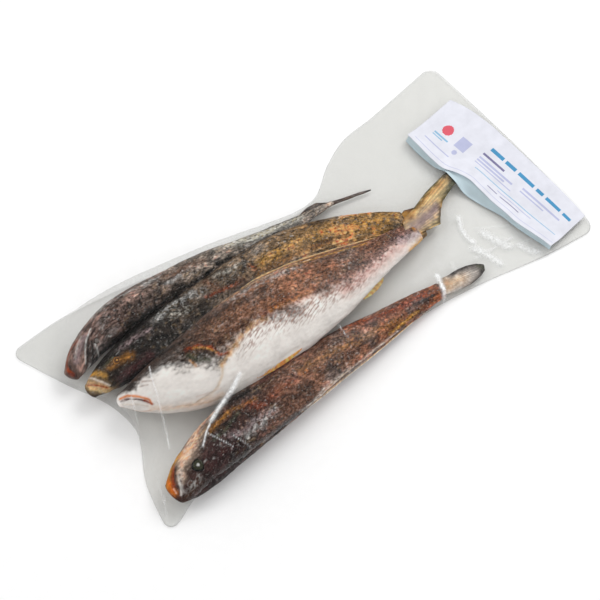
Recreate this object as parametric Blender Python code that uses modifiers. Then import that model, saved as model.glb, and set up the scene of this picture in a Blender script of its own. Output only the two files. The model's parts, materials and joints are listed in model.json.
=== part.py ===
"""A clear sealed pouch of four whole smoked fish, with a paper label over its tail end.

Metres, +Z up. The pouch lies on z = 0 with its length along X: the heads are at -X, the tails
and the paper label at +X. The film is one closed solid that shows the fish as relief: a sheet
pulled down over them, with a flat underside. Places are drawn in a frame of their own, and
the finished pieces are moved together so that the middle of their box stands on the origin.
"""

import bmesh
import bpy
import numpy as np
from mathutils import Vector
from mathutils.bvhtree import BVHTree

# Pouch: the places (x, y) that its four edges pass through, seen from above.
# The waist behind the tails and the pulled-in end before the heads are where the film gathers.
NEAR_EDGE = (
    (-0.184, -0.085), (-0.164, -0.081), (-0.128, -0.079), (-0.064, -0.076), (-0.020, -0.073),
    (0.034, -0.067), (0.080, -0.066), (0.119, -0.070), (0.170, -0.080), (0.213, -0.086),
)
FAR_EDGE = (
    (-0.198, 0.097), (-0.151, 0.099), (-0.111, 0.095), (-0.086, 0.091), (-0.057, 0.084),
    (-0.005, 0.072), (0.021, 0.065), (0.044, 0.062), (0.061, 0.065), (0.083, 0.080),
    (0.104, 0.090), (0.139, 0.094), (0.205, 0.103),
)
HEAD_END = (
    (-0.085, -0.184), (-0.047, -0.176), (-0.006, -0.158), (0.012, -0.160), (0.056, -0.180),
    (0.097, -0.198),
)
TAIL_END = ((-0.086, 0.213), (-0.025, 0.213), (0.038, 0.210), (0.103, 0.205))
CORNER_RADIUS = 0.010
CELLS_LONG = 92
CELLS_WIDE = 44

# Film: how thick the flat rim is, and how it hangs between the fish.
RIM_THICKNESS = 0.0015
FILM_OVER_FISH = 0.0004
FILM_SAG = 0.00030
FILM_SWEEPS = 700
ROUNDING_SWEEPS = 4

# Fish: the shares of its half depth and half thickness along the body, from snout to tail root.
BODY_DEPTH = (
    (0.0, 0.12), (0.03, 0.30), (0.10, 0.57), (0.20, 0.85), (0.35, 1.0), (0.50, 0.95),
    (0.66, 0.70), (0.80, 0.47), (0.93, 0.27), (1.0, 0.22),
)
BODY_THICKNESS = (
    (0.0, 0.16), (0.04, 0.50), (0.12, 0.86), (0.24, 1.0), (0.40, 1.0), (0.58, 0.80),
    (0.76, 0.46), (0.90, 0.24), (1.0, 0.16),
)
FIN_HALF_THICKNESS = 0.0012
SKIRT_SLOPE = 1.1

# Each fish lies on its side. Its path is the body's axis (x, y, z) from snout to tail root, and
# its roll turns the back (+Y side) up, in degrees. The fin runs from the tail root to its tip.
FISH = {
    "pale": {
        "path": (
            (-0.161, 0.005, 0.017), (-0.131, -0.002, 0.021), (-0.072, -0.0095, 0.025),
            (0.008, -0.010, 0.023), (0.097, -0.012, 0.016),
        ),
        "half_depth": 0.0315, "half_thickness": 0.020, "roll": -28.0,
        "fin_tip": (0.148, 0.014, 0.009), "fin_half_width": 0.014,
    },
    "near": {
        "path": (
            (-0.169, -0.066, 0.012), (-0.144, -0.0615, 0.0155), (-0.095, -0.057, 0.0165),
            (-0.020, -0.0545, 0.0145), (0.084, -0.057, 0.007),
        ),
        "half_depth": 0.0215, "half_thickness": 0.015, "roll": 8.0,
        "fin_tip": (0.124, -0.058, 0.005), "fin_half_width": 0.009,
    },
    "far": {
        "path": (
            (-0.172, 0.051, 0.013), (-0.148, 0.062, 0.0155), (-0.099, 0.067, 0.0165),
            (-0.034, 0.061, 0.0145), (0.026, 0.051, 0.011), (0.064, 0.046, 0.007),
        ),
        "half_depth": 0.0175, "half_thickness": 0.015, "roll": 0.0,
        "fin_tip": (0.096, 0.040, 0.005), "fin_half_width": 0.003,
    },
    "middle": {
        "path": (
            (-0.168, 0.030, 0.015), (-0.142, 0.034, 0.019), (-0.076, 0.033, 0.020),
            (-0.010, 0.034, 0.019), (0.042, 0.026, 0.017), (0.095, 0.004, 0.014),
        ),
        "half_depth": 0.0215, "half_thickness": 0.017, "roll": 6.0,
        "fin_tip": (0.132, 0.000, 0.009), "fin_half_width": 0.011,
    },
}

# Paper label: its middle, its size, and how far its long inner edge curls up off the film.
LABEL_CENTRE = (0.1805, -0.006)
LABEL_HEIGHT = 0.050
LABEL_LENGTH = 0.142
LABEL_TURN = 5.5
LABEL_THICKNESS = 0.0005
LABEL_GAP = 0.0004
LABEL_CURL = 0.004
LABEL_WAVE = 0.0012
LABEL_WAVES = 2.5
LABEL_SAG = 0.00002
LABEL_SWEEPS = 160
LABEL_CELLS_LONG = 34
LABEL_CELLS_HIGH = 12

# Colours and roughness of the two materials.
FILM_COLOUR = (0.72, 0.72, 0.70)
FILM_ROUGHNESS = 0.25
PAPER_COLOUR = (0.80, 0.81, 0.84)
PAPER_ROUGHNESS = 0.8


def curve(at, knots):
    """The smooth curve through knots (position, value, ...), read at each position."""
    table = np.array(knots, float)
    x, values = table[:, 0], table[:, 1:]
    slopes = np.gradient(values, x, axis=0)
    at = np.clip(np.asarray(at, float), x[0], x[-1])
    left = np.clip(np.searchsorted(x, at, side="right") - 1, 0, len(x) - 2)
    width = (x[left + 1] - x[left])[..., None]
    share = (at - x[left])[..., None] / width
    rest = 1 - share
    out = (
        (1 + 2 * share) * rest**2 * values[left]
        + share * rest**2 * width * slopes[left]
        + share**2 * (3 - 2 * share) * values[left + 1]
        - share**2 * rest * width * slopes[left + 1]
    )
    return out[..., 0] if out.shape[-1] == 1 else out


def rounded_corners(u, v):
    """Pulls the corners of the square -1..1 in to quarter circles of CORNER_RADIUS."""
    length = TAIL_END[0][1] - HEAD_END[0][1]
    width = FAR_EDGE[0][1] - NEAR_EDGE[0][1]
    cell_u = 2 * CORNER_RADIUS / length
    cell_v = 2 * CORNER_RADIUS / width
    du = np.maximum(abs(u) - (1 - cell_u), 0) / cell_u
    dv = np.maximum(abs(v) - (1 - cell_v), 0) / cell_v
    reach = np.hypot(du, dv)
    pull = np.where(reach > 0, np.maximum(du, dv) / np.maximum(reach, 1e-9), 1.0)
    u = np.where(du > 0, np.sign(u) * (1 - cell_u + cell_u * du * pull), u)
    v = np.where(dv > 0, np.sign(v) * (1 - cell_v + cell_v * dv * pull), v)
    return u, v


def pouch_plan(u, v):
    """Spreads the square -1..1 over the pouch's outline: a patch blended from its four edges."""
    u, v = rounded_corners(u, v)
    s, t = (u + 1) / 2, (v + 1) / 2

    def along(knots, share):
        first, last = knots[0][0], knots[-1][0]
        position = first + share * (last - first)
        return position, curve(position, knots)

    near = np.stack(along(NEAR_EDGE, s), -1)
    far = np.stack(along(FAR_EDGE, s), -1)
    head = np.stack(along(HEAD_END, t)[::-1], -1)
    tail = np.stack(along(TAIL_END, t)[::-1], -1)
    s, t = s[..., None], t[..., None]
    corners = (
        (1 - s) * (1 - t) * np.array(NEAR_EDGE[0])
        + s * (1 - t) * np.array(NEAR_EDGE[-1])
        + (1 - s) * t * np.array(FAR_EDGE[0])
        + s * t * np.array(FAR_EDGE[-1])
    )
    return (1 - t) * near + t * far + (1 - s) * head + s * tail - corners


def tilted_oval_top(across, centre, half_depth, half_thickness, roll):
    """Height of the upper side of an oval that is rolled about its centre.

    Beside the oval the height falls from its edge at SKIRT_SLOPE, as film does that leaves it.
    """
    slope = (half_depth**2 - half_thickness**2) * np.sin(roll) * np.cos(roll)
    reach = (half_depth * np.cos(roll)) ** 2 + (half_thickness * np.sin(roll)) ** 2
    half_width = np.sqrt(reach)
    over = np.clip(across, -half_width, half_width)
    bulge = half_depth * half_thickness * np.sqrt(np.maximum(reach - over**2, 0))
    return centre + (slope * over + bulge) / reach - SKIRT_SLOPE * abs(across - over)


def body_top(fish, x, y):
    """Height of the upper side of one fish's body over the points (x, y)."""
    path = np.array(fish["path"])
    over = np.clip(x, path[0, 0], path[-1, 0])
    axis = curve(over, path)
    lean = np.arctan2(np.gradient(axis[..., 0], axis=1), np.gradient(x, axis=1))
    share = (over - path[0, 0]) / (path[-1, 0] - path[0, 0])
    top = tilted_oval_top(
        (y - axis[..., 0]) * np.cos(lean),
        axis[..., 1],
        fish["half_depth"] * curve(share, BODY_DEPTH),
        fish["half_thickness"] * curve(share, BODY_THICKNESS),
        np.radians(fish["roll"]),
    )
    return top - SKIRT_SLOPE * abs(x - over)


def fin_top(fish, x, y):
    """Height of the upper side of one fish's tail fin, a thin wedge from the tail root to its tip."""
    root, tip = np.array(fish["path"][-1]), np.array(fish["fin_tip"])
    run = tip - root
    length = np.hypot(run[0], run[1])
    along = ((x - root[0]) * run[0] + (y - root[1]) * run[1]) / length
    across = abs((y - root[1]) * run[0] - (x - root[0]) * run[1]) / length
    share = np.clip(along / length, 0, 1)
    root_half = fish["half_depth"] * BODY_DEPTH[-1][1]
    half = root_half + share * (fish["fin_half_width"] - root_half)
    outside = np.hypot(np.maximum(across - half, 0), along - share * length)
    return root[2] + share * run[2] + FIN_HALF_THICKNESS - SKIRT_SLOPE * outside


def neighbours_mean(sheet):
    """The mean of each point's four neighbours in a grid, which ends in copies of its rim."""
    padded = np.pad(sheet, 1, mode="edge")
    return (padded[:-2, 1:-1] + padded[2:, 1:-1] + padded[1:-1, :-2] + padded[1:-1, 2:]) / 4


def drape(floor, sag, sweeps, held):
    """A sheet pulled down on floor: each point sinks to its neighbours' mean less sag, or rests.

    Where held is true, the point stays at the floor's height. The last sweeps round off the
    steps in the floor that a sheet of film or paper is too stiff to follow.
    """
    sheet = np.full(floor.shape, floor.max())
    for _ in range(sweeps):
        sheet = np.where(held, floor, np.maximum(floor, neighbours_mean(sheet) - sag))
    for _ in range(ROUNDING_SWEEPS):
        sheet = np.where(held, floor, (sheet + neighbours_mean(sheet)) / 2)
    return sheet


def grid_object(name, collection, cells_u, cells_v):
    """An object with a flat grid mesh, and its points as (cells_v + 1, cells_u + 1) in -1..1."""
    mesh = bpy.data.meshes.new(name)
    model = bmesh.new()
    bmesh.ops.create_grid(model, x_segments=cells_u, y_segments=cells_v, size=1.0)
    model.to_mesh(mesh)
    model.free()
    grid = bpy.data.objects.new(name, mesh)
    collection.objects.link(grid)
    points = np.empty(len(mesh.vertices) * 3, np.float32)
    mesh.vertices.foreach_get("co", points)
    points = points.reshape(cells_v + 1, cells_u + 1, 3).astype(float)
    return grid, (points[..., 0], points[..., 1])


def set_points(mesh, points):
    """Moves the mesh's points to the rows of an array of any grid shape."""
    mesh.vertices.foreach_set("co", points.astype(np.float32).ravel())
    mesh.update()


def close_down_to(mesh, level):
    """Closes an open sheet: its rim goes straight down to level, and one flat face fills it."""
    model = bmesh.new()
    model.from_mesh(mesh)
    rim = [edge for edge in model.edges if edge.is_boundary]
    made = bmesh.ops.extrude_edge_only(model, edges=rim)["geom"]
    for vert in made:
        if isinstance(vert, bmesh.types.BMVert):
            vert.co.z = level
    foot = [edge for edge in made if isinstance(edge, bmesh.types.BMEdge) and edge.is_boundary]
    bmesh.ops.contextual_create(model, geom=foot)
    bmesh.ops.recalc_face_normals(model, faces=model.faces)
    model.to_mesh(mesh)
    model.free()


def plain_material(name, colour, roughness):
    """A Principled material with one colour, roughness and no metal."""
    material = bpy.data.materials.new(name)
    material.use_nodes = True
    shader = material.node_tree.nodes["Principled BSDF"]
    shader.inputs["Base Color"].default_value = (*colour, 1.0)
    shader.inputs["Roughness"].default_value = roughness
    shader.inputs["Metallic"].default_value = 0.0
    return material


def make_bag(collection):
    """The sealed film pouch: a sheet draped over the four fish, closed by a flat underside."""
    bag, (u, v) = grid_object("bag", collection, CELLS_LONG, CELLS_WIDE)
    plan = pouch_plan(u, v)
    x, y = plan[..., 0], plan[..., 1]
    tops = [top(fish, x, y) for fish in FISH.values() for top in (body_top, fin_top)]
    lying_on = np.maximum(np.max(tops, axis=0) + FILM_OVER_FISH, RIM_THICKNESS)
    rim = np.maximum(abs(u), abs(v)) > 1 - 1e-5
    lying_on[rim] = RIM_THICKNESS
    heights = drape(lying_on, FILM_SAG, FILM_SWEEPS, rim)
    set_points(bag.data, np.dstack([x, y, heights]))
    close_down_to(bag.data, 0.0)
    bag.data.materials.append(plain_material("clear film", FILM_COLOUR, FILM_ROUGHNESS))
    return bag


def make_label(collection, bag):
    """The paper label: a strip laid on the bag's tail end, its inner edge curled up and wavy."""
    label, (u, v) = grid_object("label", collection, LABEL_CELLS_LONG, LABEL_CELLS_HIGH)
    turn = np.radians(LABEL_TURN)
    along = u * LABEL_LENGTH / 2
    inward = v * LABEL_HEIGHT / 2
    x = LABEL_CENTRE[0] - inward * np.cos(turn) + along * np.sin(turn)
    y = LABEL_CENTRE[1] - inward * np.sin(turn) - along * np.cos(turn)
    surface = BVHTree.FromObject(bag, bpy.context.evaluated_depsgraph_get())
    down = Vector((0, 0, -1))
    under = np.full(x.shape, RIM_THICKNESS)
    for index in np.ndindex(x.shape):
        hit = surface.ray_cast(Vector((x[index], y[index], 1.0)), down)[0]
        if hit is not None:
            under[index] = max(hit.z, RIM_THICKNESS)
    sheet = drape(under, LABEL_SAG, LABEL_SWEEPS, np.zeros(x.shape, bool))
    inner_share = np.maximum(v, 0) ** 2
    wave = 1 + LABEL_WAVE / LABEL_CURL * np.cos(np.pi * LABEL_WAVES * u)
    heights = sheet + LABEL_GAP + LABEL_CURL * inner_share * wave
    set_points(label.data, np.dstack([x, y, heights]))
    label.data.flip_normals()
    solid = label.modifiers.new("thickness", "SOLIDIFY")
    solid.thickness = LABEL_THICKNESS
    solid.offset = 1.0
    label.data.materials.append(plain_material("paper", PAPER_COLOUR, PAPER_ROUGHNESS))
    return label


def stand_on_origin(bag, label):
    """Moves both pieces so that the middle of their common box is at x = y = 0."""
    points = [vert.co for piece in (bag, label) for vert in piece.data.vertices]
    low = Vector(min(point[axis] for point in points) for axis in range(3))
    high = Vector(max(point[axis] for point in points) for axis in range(3))
    middle = (low + high) / 2
    middle.z = 0
    for piece in (bag, label):
        for vert in piece.data.vertices:
            vert.co -= middle
        piece.data.update()


def main():
    for old in list(bpy.data.objects):
        bpy.data.objects.remove(old)
    collection = bpy.data.collections.new("smoked fish pouch")
    bpy.context.scene.collection.children.link(collection)
    bag = make_bag(collection)
    label = make_label(collection, bag)
    stand_on_origin(bag, label)
    for piece in (bag, label):
        piece.data.shade_smooth()


main()
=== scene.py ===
"""A clear sealed pouch of four smoked fish with a paper label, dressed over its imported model.

Metres, +Z up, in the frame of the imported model. Shapes are worked out in a drawing frame whose
X runs along the pouch from the heads to the tails, and they move by MIDDLE when they become meshes.
"""

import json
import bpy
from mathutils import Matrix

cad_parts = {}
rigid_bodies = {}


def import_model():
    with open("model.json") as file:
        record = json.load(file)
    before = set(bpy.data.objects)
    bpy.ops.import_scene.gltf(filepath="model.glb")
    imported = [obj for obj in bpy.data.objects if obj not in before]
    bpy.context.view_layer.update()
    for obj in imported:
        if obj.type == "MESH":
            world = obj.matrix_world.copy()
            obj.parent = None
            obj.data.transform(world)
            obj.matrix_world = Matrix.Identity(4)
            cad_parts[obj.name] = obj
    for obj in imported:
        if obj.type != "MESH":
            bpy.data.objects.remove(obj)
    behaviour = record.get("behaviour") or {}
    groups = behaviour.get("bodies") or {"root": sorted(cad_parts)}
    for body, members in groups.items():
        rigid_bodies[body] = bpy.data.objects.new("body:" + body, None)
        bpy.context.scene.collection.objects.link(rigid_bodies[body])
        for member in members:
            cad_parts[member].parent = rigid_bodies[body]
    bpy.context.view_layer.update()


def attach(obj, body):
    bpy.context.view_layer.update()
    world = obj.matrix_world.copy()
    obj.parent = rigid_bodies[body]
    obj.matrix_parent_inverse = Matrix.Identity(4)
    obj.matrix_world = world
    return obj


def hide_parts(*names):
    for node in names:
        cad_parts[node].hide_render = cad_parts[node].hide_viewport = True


bl_info = {
    "name": "Smoked fish pouch",
    "version": (1, 0, 0),
    "blender": (4, 5, 0),
    "location": "3D View > Sidebar > Fish pouch",
    "description": "Four smoked fish in a clear vacuum pouch with a paper label",
    "category": "Add Mesh",
}

import bpy
import numpy as np

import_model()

MIDDLE = np.array((0.00938, 0.00848, 0.0))
MM = 0.001

# The pouch's outline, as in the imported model: places that its four edges pass through.
NEAR_EDGE = (
    (-0.184, -0.085), (-0.164, -0.081), (-0.128, -0.079), (-0.064, -0.076), (-0.020, -0.073),
    (0.034, -0.067), (0.080, -0.066), (0.119, -0.070), (0.170, -0.080), (0.213, -0.086),
)
FAR_EDGE = (
    (-0.198, 0.097), (-0.151, 0.098), (-0.111, 0.0935), (-0.086, 0.0887), (-0.057, 0.0818),
    (-0.005, 0.072), (0.021, 0.065), (0.044, 0.062), (0.061, 0.065), (0.083, 0.080),
    (0.104, 0.090), (0.139, 0.094), (0.205, 0.103),
)
HEAD_END = (
    (-0.085, -0.184), (-0.047, -0.176), (-0.006, -0.158), (0.012, -0.160), (0.056, -0.180),
    (0.097, -0.198),
)
TAIL_END = ((-0.086, 0.213), (-0.025, 0.213), (0.038, 0.210), (0.103, 0.205))
CORNER_RADIUS = 0.010
# How far in the foot of the near wall lies: place along the pouch and depth.
WALL_TUCK = (
    (-0.186, 0.0), (-0.172, 0.0), (-0.155, 0.0045), (-0.140, 0.0065), (-0.060, 0.0065),
    (0.010, 0.0055), (0.060, 0.0035), (0.100, 0.0012), (0.125, 0.0), (0.215, 0.0),
)
RIM_HEIGHT = 0.0010
SEAM_WIDTH = 0.0035
FILM_CELLS = (384, 188)
OUTLINE_CELLS = (1299, 699)
# How steeply the film leaves a peak, how many cells far, and how strongly it hangs through.
SKIRT_SLOPE = 1.1
SKIRT_STEPS = 45
SAG_CURVATURE = 65.0
# Coarse to fine: cells to a block and how often the film sinks, then how often it is smoothed.
DRAPE_PASSES = ((4, 700), (2, 260), (1, 120))
DRAPE_SMOOTHING = 5
# About half the pouch's length and width in millimetres, to tell how far its rim is.
HALF_SIZES = (200, 90)
UNDERSIDE_HEIGHT = 0.0002

# Shares of each fish's half depth at shares of its body's length, from snout to tail root.
BODY_SHARES = (0.0, 0.05, 0.10, 0.15, 0.20, 0.30, 0.40, 0.50, 0.60, 0.70, 0.80, 0.90, 1.0)
BODY_DEPTH = {
    "pale": (0.16, 0.39, 0.57, 0.72, 0.83, 0.945, 0.99, 1.0, 0.92, 0.77, 0.57, 0.38, 0.27),
    "near": (0.44, 0.70, 0.84, 0.93, 0.98, 1.0, 0.96, 0.89, 0.79, 0.69, 0.55, 0.41, 0.31),
    "far": (0.43, 0.68, 0.79, 0.87, 0.96, 1.0, 0.94, 0.88, 0.78, 0.60, 0.43, 0.29, 0.12),
    "middle": (0.30, 0.51, 0.65, 0.76, 0.85, 0.97, 1.0, 0.98, 0.95, 0.86, 0.71, 0.55, 0.36),
}

# Shares of half thickness, the same for all four.
BODY_THICKNESS = (
    (0.0, 0.16), (0.04, 0.50), (0.12, 0.86), (0.24, 1.0), (0.40, 1.0), (0.58, 0.80),
    (0.76, 0.46), (0.90, 0.22), (1.0, 0.10),
)
# Both ends are rounded over this share of the length.
SNOUT_SHARE = 0.012
BODY_ROWS = 372
BODY_COLUMNS = 176
NOSE_ROWS = 11
TAIL_ROWS = 9

# Each fish lies on its side: its axis from snout to tail root, its size and its roll. "facing" is 1
# where the back lies towards +Y. "belly" gives the angle at which the pale belly starts.
FISH = {
    "pale": {
        "path": (
            (-0.156, 0.0108, 0.0188), (-0.1481, 0.0070, 0.0198), (-0.1352, 0.0025, 0.0211),
            (-0.1223, -0.0012, 0.0222), (-0.1094, -0.0041, 0.0230), (-0.0836, -0.0065, 0.0242),
            (-0.0578, -0.0064, 0.0246), (-0.0320, -0.0065, 0.0246), (-0.0062, -0.0074, 0.0240),
            (0.0196, -0.0086, 0.0228), (0.0454, -0.0094, 0.0206), (0.0712, -0.0097, 0.0176),
            (0.097, -0.0092, 0.0140),
        ),
        "half_depth": 0.0331, "half_thickness": 0.0205, "roll": -2.0, "facing": 1,
        "belly": (
            (0.0, 60), (0.042, 90), (0.062, 74), (0.096, 71), (0.14, 73), (0.168, 81), (0.198, 88),
            (0.22, 97), (0.248, 102), (0.276, 106), (0.31, 107), (0.352, 101), (0.392, 96),
            (0.422, 94), (0.464, 99), (0.522, 106), (0.602, 109), (0.656, 110), (0.716, 118),
            (0.796, 119), (0.868, 111), (0.936, 103), (1.0, 101),
        ),
        "mottle": 0.55, "specks": 0.46, "frost": 0.45,
    },
    "near": {
        "path": (
            (-0.165, -0.0674, 0.0126), (-0.1526, -0.0654, 0.0145), (-0.1401, -0.0631, 0.0158),
            (-0.1277, -0.0604, 0.0165), (-0.1152, -0.0580, 0.0166), (-0.0903, -0.0557, 0.0165),
            (-0.0654, -0.0543, 0.0162), (-0.0405, -0.0536, 0.0154), (-0.0156, -0.0534, 0.0143),
            (0.0093, -0.0538, 0.0128), (0.0342, -0.0543, 0.0109), (0.0591, -0.0549, 0.0089),
            (0.084, -0.0565, 0.007),
        ),
        "half_depth": 0.0207, "half_thickness": 0.015, "roll": 8.0, "facing": -1,
        "belly": ((0.0, 190), (1.0, 205)),
        "mottle": 0.70, "specks": 0.50, "frost": 0.42,
    },
    "far": {
        "path": (
            (-0.172, 0.0505, 0.0130), (-0.1602, 0.0570, 0.0143), (-0.1484, 0.0613, 0.0155),
            (-0.1366, 0.0640, 0.0162), (-0.1248, 0.0652, 0.0165), (-0.1012, 0.0646, 0.0165),
            (-0.0776, 0.0624, 0.0162), (-0.0540, 0.0602, 0.0154), (-0.0304, 0.0577, 0.0143),
            (-0.0068, 0.0549, 0.0132), (0.0168, 0.0528, 0.0117), (0.0404, 0.0515, 0.0096),
            (0.064, 0.0506, 0.007),
        ),
        "half_depth": 0.0145, "half_thickness": 0.015, "roll": 0.0, "facing": 1,
        "belly": ((0.0, 200), (1.0, 205)),
        "mottle": 0.95, "specks": 0.62, "frost": 0.70,
    },
    "middle": {
        "path": (
            (-0.168, 0.0312, 0.0150), (-0.1549, 0.0325, 0.0158), (-0.1417, 0.0334, 0.0165),
            (-0.1285, 0.0339, 0.0168), (-0.1154, 0.0337, 0.0168), (-0.0891, 0.0329, 0.0164),
            (-0.0628, 0.0329, 0.0161), (-0.0365, 0.0338, 0.0160), (-0.0102, 0.0340, 0.0158),
            (0.0161, 0.0318, 0.0154), (0.0424, 0.0257, 0.0150), (0.0687, 0.0167, 0.0142),
            (0.095, 0.0046, 0.0130),
        ),
        "half_depth": 0.0207, "half_thickness": 0.0148, "roll": 6.0, "facing": 1,
        "belly": ((0.0, 200), (1.0, 205)),
        "mottle": 0.85, "specks": 0.56, "frost": 0.55,
    },
}

# Pigments of the smoked skin, as screen values from 0 to 255.
PIGMENTS = {
    "cream": (224, 212, 202), "bone": (222, 218, 214), "frost": (206, 205, 203),
    "grey": (122, 114, 110), "lilac": (172, 148, 150), "pink": (204, 166, 148),
    "tan": (206, 170, 124), "gold": (212, 158, 72), "ochre": (168, 114, 52),
    "orange": (222, 122, 38), "rust": (160, 66, 26), "brown": (122, 80, 58),
    "umber": (78, 54, 42), "maroon": (86, 46, 46), "soot": (38, 32, 32),
    "black": (10, 9, 10), "moss": (78, 80, 60), "salmon": (240, 208, 184),
    "straw": (218, 192, 138), "sun": (255, 214, 150), "amber": (250, 184, 104),
    "olive": (54, 54, 40), "mist": (204, 200, 190), "rose": (216, 180, 172),
}

# Patterns of a fish's skin: length of a patch along the body and round it, number added to the
# seed, layers of noise, and for patches the noise at which they begin and are full.
PATTERNS = {
    "wobble": (0.012, 0.010, 0, 3), "folds": (0.030, 0.0055, 3, 3), "lumps": (0.022, 0.014, 5, 3),
    "pits": (0.0030, 0.0024, 7, 3), "coarse": (0.0090, 0.0055, 11, 3),
    "fine": (0.0024, 0.0017, 13, 2), "ridges": (0.0040, 0.0030, 29, 3),
    "dabs": (0.0021, 0.0015, 31, 2), "cool": (0.020, 0.011, 17, 3, 0.50, 0.72),
    "glints": (0.0021, 0.0014, 19, 1, 0.78, 0.93), "patches": (0.016, 0.010, 23, 3, 0.42, 0.62),
    "warm": (0.0024, 0.0016, 37, 1, 0.70, 0.90), "dark": (0.0034, 0.0022, 41, 1, 0.66, 0.86),
}
LUMP_HEIGHT = 0.0014
PIT_HEIGHT = 0.0005
LOWEST_SKIN = 0.0009

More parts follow.
